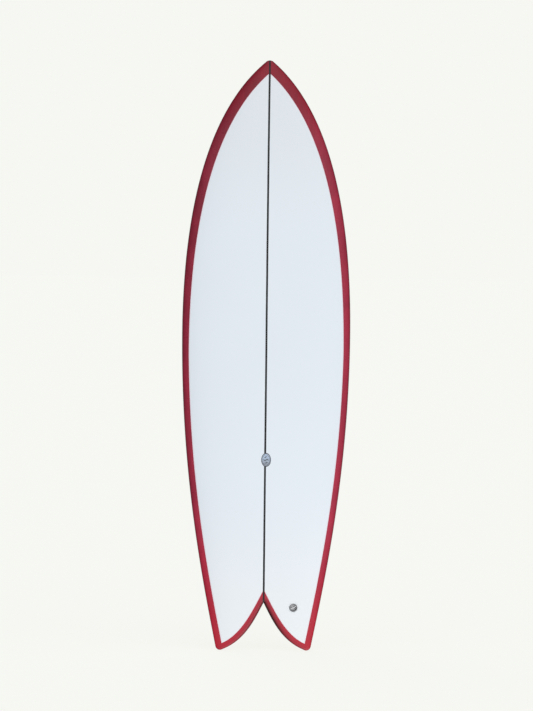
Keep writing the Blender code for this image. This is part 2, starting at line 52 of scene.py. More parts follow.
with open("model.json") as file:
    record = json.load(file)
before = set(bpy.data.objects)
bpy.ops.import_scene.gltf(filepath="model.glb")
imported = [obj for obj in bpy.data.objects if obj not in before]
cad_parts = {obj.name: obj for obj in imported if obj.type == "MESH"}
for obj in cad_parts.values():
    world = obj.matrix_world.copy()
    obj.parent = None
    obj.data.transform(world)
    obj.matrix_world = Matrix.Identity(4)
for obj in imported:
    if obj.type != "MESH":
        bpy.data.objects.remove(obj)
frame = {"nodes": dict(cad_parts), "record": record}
cad_low, cad_high = (Vector(corner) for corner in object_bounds())

# Board: the same shape rules as the frame's
LENGTH = cad_high.z - cad_low.z
MIDDLE = -cad_low.z
HALF_WIDTH = cad_high.x
THICKNESS = 0.064
NOSE_THICKNESS = 0.014
TAIL_THICKNESS = 0.014
THICKEST = 0.960
NOSE_ROCKER = 0.110
TAIL_ROCKER = 0.045
NOSE_ROCKER_POWER = 2.3
TAIL_ROCKER_POWER = 2.1
FLAT_PATCH = 0.060
WIDE_POINT = 1.011
NOSE_CURVE = [(1.885, 0.0), (1.7813, 0.1335), (1.5446, HALF_WIDTH), (WIDE_POINT, HALF_WIDTH)]
TAIL_CURVE = [(WIDE_POINT, HALF_WIDTH), (0.570, HALF_WIDTH), (0.236, 0.1988), (0.0, 0.1497)]
CROTCH = 0.152
CUT_CURVE = [(CROTCH, 0.0), (0.0922, 0.0299), (0.0274, 0.0600), (0.0, 0.1355)]
NOSE_RADIUS = 0.0188
NOSE_TANGENT = LENGTH - 0.0040
TIP_RADIUS = 0.0143
TIP_CENTRE = 0.1380
TIP_OUTER_TANGENT = 0.0114
TIP_CUT_TANGENT = 0.0008
CROWN_POWER = 3.0
RAIL_APEX_TAIL = 0.30
RAIL_APEX_RISE = 0.18
RAIL_APEX_REACH = 1.3
TAIL_RAIL_POWER = 14.0
RAIL_POWER_DROP = 9.0
RAIL_POWER_REACH = 1.2
BOTTOM_FLAT = 0.35
NOSE_ROUNDING = 0.022
LAP_WIDTH = 0.021
LAP_GROWTH = 0.014
LAP_GROWTH_START = 0.950
LAP_CUT_CURVE = [(0.194, 0.0), (0.1355, 0.0310), (0.0508, 0.0667), (0.0215, 0.1335)]
SKIN = 0.0009

# Rounded edges of the swallow cut, kept within a part of the lobe's width and of the wall's height
DECK_EDGE_RADIUS = 0.010
BOTTOM_EDGE_RADIUS = 0.0035
EDGE_WIDTH_PART = 0.3
DECK_EDGE_HEIGHT_PART = 0.55
BOTTOM_EDGE_HEIGHT_PART = 0.25
LEAST_LEAN = 0.2

# Painted shade beside the swallow cut: dark colour that stands in for the shade on the cut's rounded
# wall. It thins towards the tips, and the +X lobe, whose wall faces away from the light, has more
CUT_SHADE_DEPTH = 1.1
CUT_SHADE_WIDTH = 0.0150
CUT_SHADE_START = -0.010
CUT_SHADE_FULL = 0.095
CUT_SHADE_SHARES = {1: 1.0, -1: 0.55}

# How finely the visible board is made
CURVE_POINTS = 400
END_OFFSET = 0.00004
LOBE_STEPS = 84
AFT_STEPS = 62
AFT_CROWDING = 2.2
FORE_STEPS = 96
FORE_CROWDING = 1.9
DECK_STEPS = 28
BOTTOM_STEPS = 16
BOTTOM_CROWDING = 0.25
EDGE_STEPS = 6
WALL_STEPS = 6
HOLDING_PARTS = [0.012, 0.035, 0.080]
HALVINGS = 14
MERGE = 2e-6
ROUND_STEPS = 96
SMALL_ROUND_STEPS = 48
TOOL_STEPS = 40
HOLE_MARGIN = 0.004
HOLE_REACH = 0.012
FACING = 0.5
SKIN_SHARP = 50.0

# Fittings
PLUG_SPACING = 0.062
PLUG_OFFSETS = {"front": PLUG_SPACING / 2, "rear": -PLUG_SPACING / 2}
PLUG_RADIUS = 0.0150
PLUG_DEPTH = 0.0160
SLOT_SIZE = (0.0262, 0.0068, 0.0140)
SLOT_ROUNDING = 0.0012
FIN_BED_RADIUS = 0.0180
FIN_BED_FLOOR = 0.0022
SCREW_ENTRY = 0.0105
SCREW_TILT = math.radians(35)
SCREW_RADIUS = 0.0023
SCREW_START = 0.0020
SCREW_END = 0.0090
SCREW_ROOM = 0.003
SCREW_THREADS = 8
SCREW_CHAMFER = 0.0004
THREAD_DEPTH = 0.0002
HEX_RADIUS = 0.0014
HEX_DEPTH = 0.0025
TOOL_TOP = 0.02
GAP = 0.0003
LEASH_CUP_RADIUS = 0.0130
LEASH_CUP_DEPTH = 0.0160
LEASH_BOWL_RADIUS = 0.0098
LEASH_BOWL_DEPTH = 0.0130
LEASH_BOWL_CORNER = 0.0028
LEASH_BAR_RADIUS = 0.0020
LEASH_BAR_DEPTH = 0.0050
LEASH_BAR_HALF = 0.0112
LEASH_BAR_ANGLE = math.radians(27)
LEASH_BED_RADIUS = 0.0160
LEASH_BED_FLOOR = 0.0017
DECAL_SIZE = (0.031, 0.044)
DECAL_LIFT = 0.00025
DECAL_PAPER = DECAL_LIFT * 1.6
DECAL_RINGS = 14
DECAL_SPOKES = 64

# Lines and cloth seen in the glass
STRINGER_LINE = 0.0031
STRINGER_SHADE = 0.0030
WEAVE_PITCH = 0.0013
PATCH_HALF = (0.150, 0.047)

# Keel fins
FIN_BASE = 0.225
FIN_DEPTH = 0.127
LEADING_CURVE = [(FIN_BASE / 2, 0.0), (0.045, 0.060), (-0.020, 0.118), (-0.075, FIN_DEPTH)]
TRAILING_CURVE = [(-FIN_BASE / 2, 0.0), (-0.096, 0.045), (-0.142, 0.112), (-0.100, FIN_DEPTH)]
FIN_THICKNESS = 0.0085
FIN_TIP_THINNING = 0.65
FIN_EDGE = 0.0006
FIN_TIP_ROUND = 0.004
FIN_BLUNTNESS = 0.0015
FIN_FOIL_POWER = 0.7
FIN_LIFT = 0.0006
FIN_CANT = math.radians(4)
FIN_LEVELS = 56
FIN_CHORD_STEPS = 40
TAB_SIZE = (0.0254, 0.0062, 0.0135)
TAB_OVERLAP = 0.0040
TAB_ROUNDING = 0.0010

# Camera and stage
CAMERA_DISTANCE = 18.0
CAMERA_YAW = math.radians(1.54)
CAMERA_PITCH = math.radians(-2.15)
CAMERA_ROLL = math.radians(0.62)
CAMERA_AIM = (0.0008, -0.060, 0.0020)
FRAME_HEIGHT = 2.2645
SENSOR = 36.0
PAPER = (0.922, 0.930, 0.888)
FLOOR_Z = cad_low.z - 0.001
FLOOR_RADIUS = 50.0
FLOOR_GLOW = 0.905
FLOOR_LIT = 0.12
SURROUND_RADIUS = 60.0

# Light: each lobe's direction, tightness and strength
LIGHT_LOBES = [
    ((0.15, -0.74, 0.64), 5.0, 1.62),
    ((0.12, -0.75, -0.65), 5.0, 1.66),
    ((-0.30, 0.74, 0.60), 5.0, 1.60),
    ((0.26, 0.76, -0.60), 5.0, 1.40),
]
AMBIENT = 0.13
TAIL_LAMP_PLACE = (0.90, -1.70, -1.90)
TAIL_LAMP_AIM = (0.05, -0.05, -0.75)
TAIL_LAMP_SIZE = 1.2
TAIL_LAMP_POWER = 5.5


# ---- board shape


def bezier(points):
    """Points along a cubic curve."""
    a, b, c, d = (np.array(point) for point in points)
    t = np.linspace(0.0, 1.0, CURVE_POINTS)[:, None]
    return (1 - t) ** 3 * a + 3 * (1 - t) ** 2 * t * b + 3 * (1 - t) * t * t * c + t**3 * d


def bezier_heading(points):
    """The curve's direction at each of those points."""
    a, b, c, d = (np.array(point) for point in points)
    t = np.linspace(0.0, 1.0, CURVE_POINTS)[:, None]
    along = (1 - t) ** 2 * (b - a) + 2 * (1 - t) * t * (c - b) + t * t * (d - c)
    return along / np.linalg.norm(along, axis=1)[:, None]


def lookup(place, value):
    """Linear reading of a curve, by its first coordinate."""
    order = np.argsort(place[:, 0])
    return np.interp(value, place[order, 0], place[order, 1])


NOSE_LINE = bezier(NOSE_CURVE)
TAIL_LINE = bezier(TAIL_CURVE)
CUT_LINE = bezier(CUT_CURVE)
CUT_LEAN = np.column_stack([CUT_LINE[:, 0], np.abs(bezier_heading(CUT_CURVE)[:, 0])])
LAP_CUT_LINE = bezier(LAP_CUT_CURVE)
LEADING_LINE = bezier(LEADING_CURVE)
TRAILING_LINE = bezier(TRAILING_CURVE)
FIN_TIP_LINE = np.linspace(LEADING_CURVE[3], TRAILING_CURVE[3], 40)
FIN_OUTLINE = np.vstack([LEADING_LINE, FIN_TIP_LINE, TRAILING_LINE])


def lap_outline():
    """The lap's line along the rails: the outline moved inwards, more towards the nose."""
    place = np.vstack([NOSE_LINE, TAIL_LINE])
    along = np.vstack([bezier_heading(NOSE_CURVE), bezier_heading(TAIL_CURVE)])
    inwards = np.column_stack([-along[:, 1], along[:, 0]])
    growth = np.clip((place[:, 0] - LAP_GROWTH_START) / (LENGTH - LAP_GROWTH_START), 0.0, 1.0)
    return place + inwards * (LAP_WIDTH + LAP_GROWTH * growth)[:, None]


LAP_LINE = lap_outline()


def circle_part(radius, offset):
    return np.sqrt(np.maximum(radius**2 - offset**2, 0.0))


def outer_edge(station):
    """Distance from the stringer to the rail."""
    rail = np.where(
        station > WIDE_POINT, lookup(NOSE_LINE, station), lookup(TAIL_LINE, station)
    )
    nose = circle_part(NOSE_RADIUS, station - LENGTH + NOSE_RADIUS)
    tip = TIP_CENTRE + circle_part(TIP_RADIUS, TIP_RADIUS - station)
    rail = np.where(station > NOSE_TANGENT, nose, rail)
    return np.where(station < TIP_OUTER_TANGENT, tip, rail)


def cut_edge(station):
    """Distance from the stringer to the swallow cut, which is 0 ahead of the crotch."""
    tip = TIP_CENTRE - circle_part(TIP_RADIUS, TIP_RADIUS - station)
    cut = np.where(station < TIP_CUT_TANGENT, tip, lookup(CUT_LINE, station))
    return np.where(station >= CROTCH, 0.0, cut)


def lap_field(x, station):
    """Positive inside the clear part of the deck, zero on the lap's line."""
    ahead = station - LAP_CUT_LINE[0, 0]
    inner = np.where(ahead < 0, lookup(LAP_CUT_LINE, station), -ahead / 2)
    return np.minimum(lookup(LAP_LINE, station) - np.abs(x), np.abs(x) - inner)


def rocker(station):
    """How far the bottom has risen towards the deck's side."""
    reach = MIDDLE - FLAT_PATCH
    ahead = np.maximum((station - MIDDLE - FLAT_PATCH) / reach, 0.0)
    behind = np.maximum((MIDDLE - FLAT_PATCH - station) / reach, 0.0)
    return NOSE_ROCKER * ahead**NOSE_ROCKER_POWER + TAIL_ROCKER * behind**TAIL_ROCKER_POWER


def foil(station):
    """Thickness along the stringer."""
    forward = station > THICKEST
    end = np.where(forward, NOSE_THICKNESS, TAIL_THICKNESS)
    reach = np.where(forward, LENGTH - THICKEST, THICKEST)
    return end + (THICKNESS - end) * (1.0 - ((station - THICKEST) / reach) ** 2)


def quarter_wave(part):
    return np.sin(math.pi / 2 * np.minimum(part, 1.0))


def rail_height(station):
    """The rail's apex as a part of the thickness, lower towards the tail."""
    return RAIL_APEX_TAIL + RAIL_APEX_RISE * quarter_wave(station / RAIL_APEX_REACH)


def bottom_power(station):
    """A soft rail forward and a harder one at the tail."""
    return TAIL_RAIL_POWER - RAIL_POWER_DROP * quarter_wave(station / RAIL_POWER_REACH)


def nose_end(station):
    """Rounds the thickness off at the nose, as a factor."""
    left = 1.0 - np.clip((LENGTH - station) / NOSE_ROUNDING, 0.0, 1.0)
    return np.sqrt(1.0 - left**2)


def apex_y(station):
    return float(-rocker(station) - foil(station) * rail_height(station))


def across(x, station):
    return np.minimum(np.abs(x) / outer_edge(station), 1.0)


def deck_y(x, station):
    apex = rail_height(station)
    crown = np.sqrt(1.0 - across(x, station) ** CROWN_POWER) * nose_end(station)
    return -rocker(station) - foil(station) * (apex + (1.0 - apex) * crown)


def bottom_y(x, station):
    beyond = np.maximum((across(x, station) - BOTTOM_FLAT) / (1.0 - BOTTOM_FLAT), 0.0)
    fullness = np.sqrt(1.0 - beyond ** bottom_power(station)) * nose_end(station)
    return -rocker(station) - foil(station) * rail_height(station) * (1.0 - fullness)


def cut_distance(x, station):
    """Distance in plan from the swallow cut."""
    nearest = np.full(x.shape, np.inf)
    for start, stride in zip(CUT_LINE[:-1], np.diff(CUT_LINE, axis=0)):
        ahead, aside = station - start[0], x - start[1]
        part = np.clip((ahead * stride[0] + aside * stride[1]) / (stride @ stride), 0.0, 1.0)
        gap = np.hypot(ahead - part * stride[0], aside - part * stride[1])
        nearest = np.minimum(nearest, gap)
    return nearest


def edge_drop(distance, radius):
    """How far a rounded edge has fallen away, at a distance from the cut's wall."""
    inside = np.clip(radius - distance, 0.0, radius)
    return radius - np.sqrt(np.maximum(radius**2 - inside**2, 0.0))


def eased(start, stop, steps, power):
    return start + (stop - start) * (np.arange(steps + 1) / steps) ** power


def spread(steps, power):
    """Parts of the way to the rail, closer together near it."""
    return np.sin(math.pi / 2 * np.arange(1, steps + 1) / steps) ** power


def board_stations():
    """Stations from the tail to the nose, close together where the outline turns."""
    swing = (1.0 - np.cos(np.pi * np.arange(LOBE_STEPS + 1) / LOBE_STEPS)) / 2
    lobes = END_OFFSET + (CROTCH - END_OFFSET) * swing
    aft = eased(CROTCH, MIDDLE, AFT_STEPS, AFT_CROWDING)
    fore = eased(LENGTH - END_OFFSET, MIDDLE, FORE_STEPS, FORE_CROWDING)[::-1]
    return np.concatenate([lobes, aft[1:], fore[1:]])


def section_columns(inner, outer, edge, parts):
    """Places across a section: a rounded edge's steps, then the rest out to the rail."""
    turns = 1.0 - np.cos(math.pi / 2 * np.arange(EDGE_STEPS) / EDGE_STEPS)
    rounded = inner[:, None] + edge[:, None] * turns
    start = (inner + edge)[:, None]
    return np.hstack([rounded, start + (outer[:, None] - start) * parts])


def board_rings(stations):
    """For each station, a ring of points on the +X side: deck, rail, bottom and cut wall."""
    inner, outer = cut_edge(stations), outer_edge(stations)
    lean = np.maximum(lookup(CUT_LEAN, stations), LEAST_LEAN)
    height = bottom_y(inner, stations) - deck_y(inner, stations)
    room = EDGE_WIDTH_PART * (outer - inner)
    bends = BOTTOM_FLAT + (1.0 - BOTTOM_FLAT) * spread(BOTTOM_STEPS, BOTTOM_CROWDING)
    faces = []
    for edge, share, parts, height_at, sign in (
        (DECK_EDGE_RADIUS, DECK_EDGE_HEIGHT_PART, spread(DECK_STEPS, 2 / CROWN_POWER), deck_y, 1.0),
        (BOTTOM_EDGE_RADIUS, BOTTOM_EDGE_HEIGHT_PART, bends, bottom_y, -1.0),
    ):
        radius = np.minimum(np.minimum(edge, room), share * height)
        parts = np.concatenate([[0.0], HOLDING_PARTS, parts])
        columns = section_columns(inner, outer, np.minimum(radius / lean, room), parts)
        along = np.broadcast_to(stations[:, None], columns.shape)
        drop = edge_drop(cut_distance(columns, along), radius[:, None])
        faces.append((columns, height_at(columns, along) + sign * drop))
    (deck_x, deck), (bottom_x, bottom) = faces
    steps = np.arange(1, WALL_STEPS) / WALL_STEPS
    wall = bottom[:, :1] + (deck[:, :1] - bottom[:, :1]) * steps
    wall_x = np.broadcast_to(inner[:, None], wall.shape)
    x = np.hstack([deck_x, bottom_x[:, -2::-1], wall_x])
    y = np.hstack([deck, bottom[:, -2::-1], wall])
    z = np.broadcast_to((stations - MIDDLE)[:, None], x.shape)
    return np.stack([x, y, z], axis=-1), deck_x.shape[1]


def board_surface():
    """The board's closed outer surface.

    Layers hold what the looks need: the deck's side, the distance from the lap's line, how far the
    surface has turned away from the deck and the bottom, and the painted shade beside the cut.
    """
    bm = bmesh.new()
    on_deck = bm.verts.layers.int.new("deck")
    lap = bm.verts.layers.float.new("lap")
    turn = bm.verts.layers.float.new("turn")
    pool = bm.verts.layers.float.new("pool")
    stations = board_stations()
    crotch = int(np.argmin(np.abs(stations - CROTCH)))
    points, deck_count = board_rings(stations)
    fields = lap_field(points[..., 0], points[..., 2] + MIDDLE)
    away = cut_distance(points[..., 0], points[..., 2] + MIDDLE)
    # Painted shade beside the swallow cut, faded out towards the tips and split unevenly between the
    # lobes.
    painted_cut_shades = np.clip(CUT_SHADE_DEPTH - away / CUT_SHADE_WIDTH, 0.0, 1.0)
    painted_cut_shades *= np.clip((stations - CUT_SHADE_START) / (CUT_SHADE_FULL - CUT_SHADE_START), 0.0, 1.0)[:, None]
    wall_start = points.shape[1] - (WALL_STEPS - 1)
    for side in (1, -1):

        def cover(*corners):
            bm.faces.new(corners if side > 0 else corners[::-1])

        rings = []
        for index, ring_points in enumerate(points):
            count = len(ring_points) if index <= crotch else wall_start
            ring = []
            for step in range(count):
                x, y, z = ring_points[step]
                vertex = bm.verts.new((side * x, y, z))
                vertex[on_deck] = int(step < deck_count)
                vertex[lap] = fields[index, step] if step < deck_count else -1.0
                vertex[pool] = painted_cut_shades[index, step] * CUT_SHADE_SHARES[side]
                ring.append(vertex)
            rings.append(ring)
        for index, (low, high) in enumerate(zip(rings, rings[1:])):
            closed = index < crotch
            steps = len(low) if closed else wall_start - 1
            for step in range(steps):
                after = (step + 1) % len(low)
                cover(low[step], low[after], high[after], high[step])
        first, last = rings[0], rings[-1]
        tail = bm.verts.new((side * TIP_CENTRE, apex_y(0.0), -MIDDLE))
        nose = bm.verts.new((0.0, apex_y(LENGTH), LENGTH - MIDDLE))
        tail[lap] = nose[lap] = -1.0
        for step in range(len(first)):
            cover(first[(step + 1) % len(first)], first[step], tail)
        for step in range(len(last) - 1):
            cover(last[step], last[step + 1], nose)
    bmesh.ops.remove_doubles(bm, verts=bm.verts[:], dist=MERGE)
    bmesh.ops.recalc_face_normals(bm, faces=bm.faces[:])
    bm.normal_update()
    for vertex in bm.verts:
        vertex[turn] = 1.0 - abs(vertex.normal.y)
    return bm


def crossing(start, end):
    """Where the lap's line passes between two points, as a part of the way."""
    low, high = 0.0, 1.0
    rising = lap_field(end.x, end.z + MIDDLE) > 0.0
    for _ in range(HALVINGS):
        part = (low + high) / 2
        place = start.lerp(end, part)
        if (lap_field(place.x, place.z + MIDDLE) > 0.0) == rising:
            high = part
        else:
            low = part
    return (low + high) / 2


def split_at_lap(bm, inside):
    """Keeps the part of the surface inside the lap's line, or the part outside it."""
    lap = bm.verts.layers.float["lap"]
    on_deck = bm.verts.layers.int["deck"]
    bmesh.ops.triangulate(bm, faces=bm.faces[:])
    crossed = [e for e in bm.edges if e.verts[0][lap] * e.verts[1][lap] < 0.0]
    for edge in crossed:
        start, end = edge.verts
        part = crossing(start.co, end.co)
        _, made = bmesh.utils.edge_split(edge, start, part)
        made[lap] = 0.0
        made[on_deck] = 1
    for face in bm.faces[:]:
        ends = [vertex for vertex in face.verts if vertex[lap] == 0.0]
        if len(ends) == 2 and not bm.edges.get(ends):
            bmesh.utils.face_split(face, ends[0], ends[1])
    sign = 1.0 if inside else -1.0
    unwanted = [face for face in bm.faces if min(sign * v[lap] for v in face.verts) < 0.0]
    bmesh.ops.delete(bm, geom=unwanted, context="FACES")


def circle_point(radius, step, steps, height=0.0):
    turn = 2 * math.pi * step / steps
    return Vector((radius * math.cos(turn), radius * math.sin(turn), height))


def open_hole(bm, place, radius, height, on_deck_side):
    """Cuts a round hole for a plug: its surroundings are taken out and filled in up to a circle."""
    lap = bm.verts.layers.float["lap"]
    on_deck = bm.verts.layers.int["deck"]
    inverse = place.inverted()
    normal = (place.to_3x3() @ Vector((0, 0, 1))).normalized()

    def near(vertex):
        local = inverse @ vertex.co
        return math.hypot(local.x, local.y) < radius + HOLE_MARGIN and abs(local.z) < HOLE_REACH

    before = {edge for edge in bm.edges if edge.is_boundary}
    facing = [face for face in bm.faces if face.normal.dot(normal) > FACING]
    doomed = {face for face in facing if any(map(near, face.verts))}
    centre = place.translation
    doomed.add(min(facing, key=lambda face: (face.calc_center_median() - centre).length))
    bmesh.ops.delete(bm, geom=list(doomed), context="FACES")
    rim = [edge for edge in bm.edges if edge.is_boundary and edge not in before]
    ring = []
    for step in range(ROUND_STEPS):
        spot = place @ circle_point(radius, step, ROUND_STEPS)
        spot.y = float(height(spot.x, spot.z + MIDDLE))
        vertex = bm.verts.new(spot)
        vertex[on_deck] = int(on_deck_side)
        vertex[lap] = float(lap_field(spot.x, spot.z + MIDDLE)) if on_deck_side else -1.0
        ring.append(vertex)
    circle = [bm.edges.new((ring[step - 1], ring[step])) for step in range(len(ring))]
    filled = bmesh.ops.triangle_fill(bm, use_beauty=True, edges=rim + circle, normal=normal)
    for face in [item for item in filled["geom"] if isinstance(item, bmesh.types.BMFace)]:
        face.normal_update()
        if face.normal.dot(normal) < 0.0:
            face.normal_flip()


# ---- materials


def add_node(tree, kind, inputs=None, **settings):
    """A new node. An input that is given a socket is linked to it, and any other is set."""
    node = tree.nodes.new(kind)
    for key, value in settings.items():
        setattr(node, key, value)
    for key, value in (inputs or {}).items():
        if isinstance(value, bpy.types.NodeSocket):
            tree.links.new(value, node.inputs[key])
        else:
            node.inputs[key].default_value = value
    return node


class Look:
    """A node material: a Principled BSDF, and short names for what feeds it."""

    def __init__(self, name, **values):
        self.material = bpy.data.materials.new(name)
        self.material.use_nodes = True
        self.tree = self.material.node_tree
        self.shader = self.tree.nodes["Principled BSDF"]
        for socket, value in values.items():
            self.shader.inputs[socket.replace("_", " ")].default_value = value
        self.place = self.add("ShaderNodeTexCoord").outputs["Object"]

    def add(self, kind, inputs=None, **settings):
        return add_node(self.tree, kind, inputs, **settings)

    def math(self, operation, first, second=0.0, third=0.0):
        inputs = {0: first, 1: second, 2: third}
        return self.add("ShaderNodeMath", inputs, operation=operation).outputs[0]

    def times(self, first, second):
        return self.math("MULTIPLY", first, second)

    def times_add(self, first, second, third):
        return self.math("MULTIPLY_ADD", first, second, third)

    def axis(self, name, vector=None):
        return self.add("ShaderNodeSeparateXYZ", {0: vector or self.place}).outputs[name]

    def scaled(self, scale, vector=None):
        inputs = {0: vector or self.place, 1: scale}
        return self.add("ShaderNodeVectorMath", inputs, operation="MULTIPLY").outputs[0]

    def noise(self, scale, detail=2.0, roughness=0.5, distortion=0.0, vector=None):
        inputs = {
            "Vector": vector or self.place, "Scale": scale, "Detail": detail,
            "Roughness": roughness, "Distortion": distortion,
        }
        return self.add("ShaderNodeTexNoise", inputs).outputs[0]

    def streaks(self, scale, detail, roughness=0.6, distortion=0.0, vector=None):
        return self.noise(1.0, detail, roughness, distortion, self.scaled(scale, vector))

    def attribute(self, name):
        return self.add("ShaderNodeAttribute", attribute_name=name).outputs["Fac"]

    def step(self, value, low, high, start=0.0, stop=1.0):
        """Smoothly from start to stop as value goes from low to high."""
        inputs = {"Value": value, "From Min": low, "From Max": high, "To Min": start, "To Max": stop}
        return self.add("ShaderNodeMapRange", inputs, interpolation_type="SMOOTHSTEP").outputs[0]

    def fade(self, value, low, high):
        return self.step(value, low, high, 1.0, 0.0)

    def mix(self, factor, first, second, blend="MIX"):
        first, second = ((*end, 1.0) if isinstance(end, tuple) else end for end in (first, second))
        inputs = {0: factor, 6: first, 7: second}
        return self.add("ShaderNodeMix", inputs, data_type="RGBA", blend_type=blend).outputs[2]

    def feed(self, socket, value):
        self.tree.links.new(value, self.shader.inputs[socket])

    def colour(self, factor, first, second):
        self.feed("Base Color", self.mix(factor, first, second))

    def rough(self, value, low, high):
        self.feed("Roughness", self.step(value, 0.3, 0.7, low, high))

    def bump(self, height, strength, distance):
        inputs = {"Height": height, "Strength": strength, "Distance": distance}
        self.feed("Normal", self.add("ShaderNodeBump", inputs).outputs[0])


def weave(look):
    """A plain weave's height, from two crossed waves."""
    turns = 2 * math.pi / WEAVE_PITCH
    warp = look.math("SINE", look.times(look.axis("X"), turns))
    weft = look.math("SINE", look.times(look.axis("Z"), turns))
    return look.times(warp, weft)


def threads_of(look):
    """The same weave, from 0 to 1."""
    return look.times_add(weave(look), 0.5, 0.5)


def stringer_mask(look, half_width):
    """1 over the stringer, with the faintest wander along its edges."""
    wander = look.times(look.noise(9.0, 3.0), 0.0004)
    off = look.math("SUBTRACT", look.axis("X"), look.math("SUBTRACT", wander, 0.0002))
    return look.fade(look.math("ABSOLUTE", off), half_width - 0.0002, half_width + 0.0003)


def wood_grain(look, dark, light):
    """Fine streaks that run along Z."""
    streaks = look.streaks((700.0, 700.0, 9.0), 5.0, 0.6, 0.4)
    return look.mix(look.step(streaks, 0.35, 0.7), dark, light)


def deck_look():
    """White foam through clear glass, with the stringer's line and a faint weave."""
    look = Look("deck glass", Roughness=0.30, Specular_IOR_Level=0.35)
    height = look.axis("Z")
    # Painted light: the foam is darker towards the nose and lighter towards the tail, as the light falls
    # along the board.
    foam = look.mix(look.step(height, 0.35, 0.85), (0.775, 0.835, 0.897), (0.745, 0.788, 0.826))
    foam = look.mix(look.fade(height, -0.95, -0.35), foam, (0.812, 0.848, 0.875))
    clouds = look.step(look.noise(3.0, 3.0, 0.5), 0.3, 0.7, 0.0, 0.35)
    foam = look.mix(clouds, foam, (0.750, 0.805, 0.868))
    cells = look.step(look.noise(900.0, 2.0, 0.7), 0.42, 0.75, 0.0, 0.08)
    foam = look.mix(cells, foam, (0.66, 0.74, 0.80))
    threads = threads_of(look)
    foam = look.mix(look.times(threads, 0.05), foam, (0.70, 0.78, 0.84))
    lap = look.attribute("lap")
    foam = look.mix(look.step(lap, 0.0, 0.0032, 0.55, 0.0), foam, (0.80, 0.40, 0.49))
    wood = wood_grain(look, (0.001, 0.001, 0.003), (0.008, 0.008, 0.012))
    look.colour(stringer_mask(look, STRINGER_LINE), foam, wood)
    look.rough(look.noise(14.0, 4.0, 0.6), 0.29, 0.33)
    look.bump(threads, 0.04, 0.0003)
    return look.material


def red_tint(look, factor):
    """Tinted resin, streaked along the board, with the cloth's threads. Painted light makes it lighter
    towards the tail and towards +X, and painted shade darkens the rails and the swallow cut's edges.
    """
    drift = look.times(look.noise(5.0, 3.0, 0.5, 0.6), 0.50)
    streaks = look.streaks((60.0, 60.0, 13.0), 4.0, 0.6, 0.5)
    fine = look.streaks((260.0, 260.0, 60.0), 3.0)
    tone = look.times_add(streaks, 0.45, look.times_add(fine, 0.25, drift))
    # Painted light: the tone rises towards the tail and, over the upper part, towards +X, as if lit from
    # the lower right.
    along = look.times_add(look.axis("Z"), -0.31, -0.085)
    painted_light_slant = look.times_add(look.axis("Z"), 0.42, 0.27)
    tone = look.math("ADD", tone, look.times_add(look.axis("X"), painted_light_slant, along))
    red = look.mix(look.step(tone, 0.0, 1.0), (0.176, 0.008, 0.023), (0.490, 0.022, 0.060))
    hue = look.mix(look.step(look.axis("Z"), -0.95, -0.45), (1.0, 0.60, 0.58), (1.0, 1.40, 1.20))
    hue = look.mix(look.step(look.axis("Z"), 0.62, 0.86), hue, (1.0, 0.35, 0.62))
    red = look.mix(1.0, red, hue, "MULTIPLY")
    threads = threads_of(look)
    red = look.mix(look.times(threads, 0.08), red, (0.18, 0.006, 0.020))
    red = look.mix(factor, red, (0.110, 0.004, 0.022))
    # Painted shade: the red darkens towards the rails' silhouette, where the surface turns away from the
    # deck and the bottom.
    painted_rail_shade = look.step(look.attribute("turn"), 0.0, 0.55, 0.0, 0.50)
    red = look.mix(painted_rail_shade, red, (0.004, 0.001, 0.002))
    # Painted shade beside the swallow cut, near black.
    return look.mix(look.attribute("pool"), red, (0.006, 0.002, 0.003))


def red_look(patches):
    """The bottom's red glass, with the stringer's shade and the fin patches under it."""
    look = Look("red tinted glass", Roughness=0.30, Specular_IOR_Level=0.35)
    lap = look.attribute("lap")
    pooled = look.step(lap, -0.0024, -0.0004, 0.0, 0.18)
    overlap = look.step(look.noise(40.0, 3.0), 0.4, 0.6, 0.85, 1.0)
    red = red_tint(look, look.times(pooled, overlap))
    shade = look.times(stringer_mask(look, STRINGER_SHADE), 0.97)
    red = look.mix(shade, red, (0.010, 0.002, 0.005))
    for place in patches:
        red = fin_patch(look, red, place)
    look.feed("Base Color", red)
    look.rough(look.noise(14.0, 4.0, 0.6), 0.24, 0.36)
    look.bump(look.times_add(weave(look), 0.15, look.noise(24.0, 2.0)), 0.04, 0.0008)
    return look.material


def squares(look, first, second):
    return look.math("ADD", look.math("POWER", first, 2.0), look.math("POWER", second, 2.0))


def fin_patch(look, colour, place):
    """An oval of extra cloth round a fin's plugs, on the bottom only: a shade darker, with an edge."""
    mapping = look.add("ShaderNodeMapping", {"Vector": look.place}, vector_type="TEXTURE")
    mapping.inputs["Location"].default_value = place.translation
    mapping.inputs["Rotation"].default_value = place.to_euler()
    local = mapping.outputs[0]
    wide = look.times(look.axis("X", local), 1 / PATCH_HALF[0])
    high = look.times(look.axis("Y", local), 1 / PATCH_HALF[1])
    frayed = look.times_add(look.noise(60.0, 3.0), 0.05, squares(look, wide, high))
    below = look.step(look.axis("Z", local), -0.012, -0.010)
    body = look.times(look.step(frayed, 0.99, 1.04, 0.30, 0.0), below)
    fade = look.step(frayed, 1.01, 1.06, 0.45, 0.0)
    ring = look.times(look.step(frayed, 0.90, 1.01), fade)
    colour = look.mix(body, colour, (0.150, 0.006, 0.018))
    return look.mix(look.times(ring, below), colour, (0.085, 0.004, 0.012))


def foam_look():
    look = Look("blown foam", Roughness=0.85)
    cells = look.add("ShaderNodeTexVoronoi", {"Vector": look.place, "Scale": 1400.0}).outputs[0]
    shade = look.step(cells, 0.1, 0.8)
    look.colour(shade, (0.80, 0.81, 0.79), (0.90, 0.91, 0.89))
    look.bump(cells, 0.3, 0.0003)
    return look.material


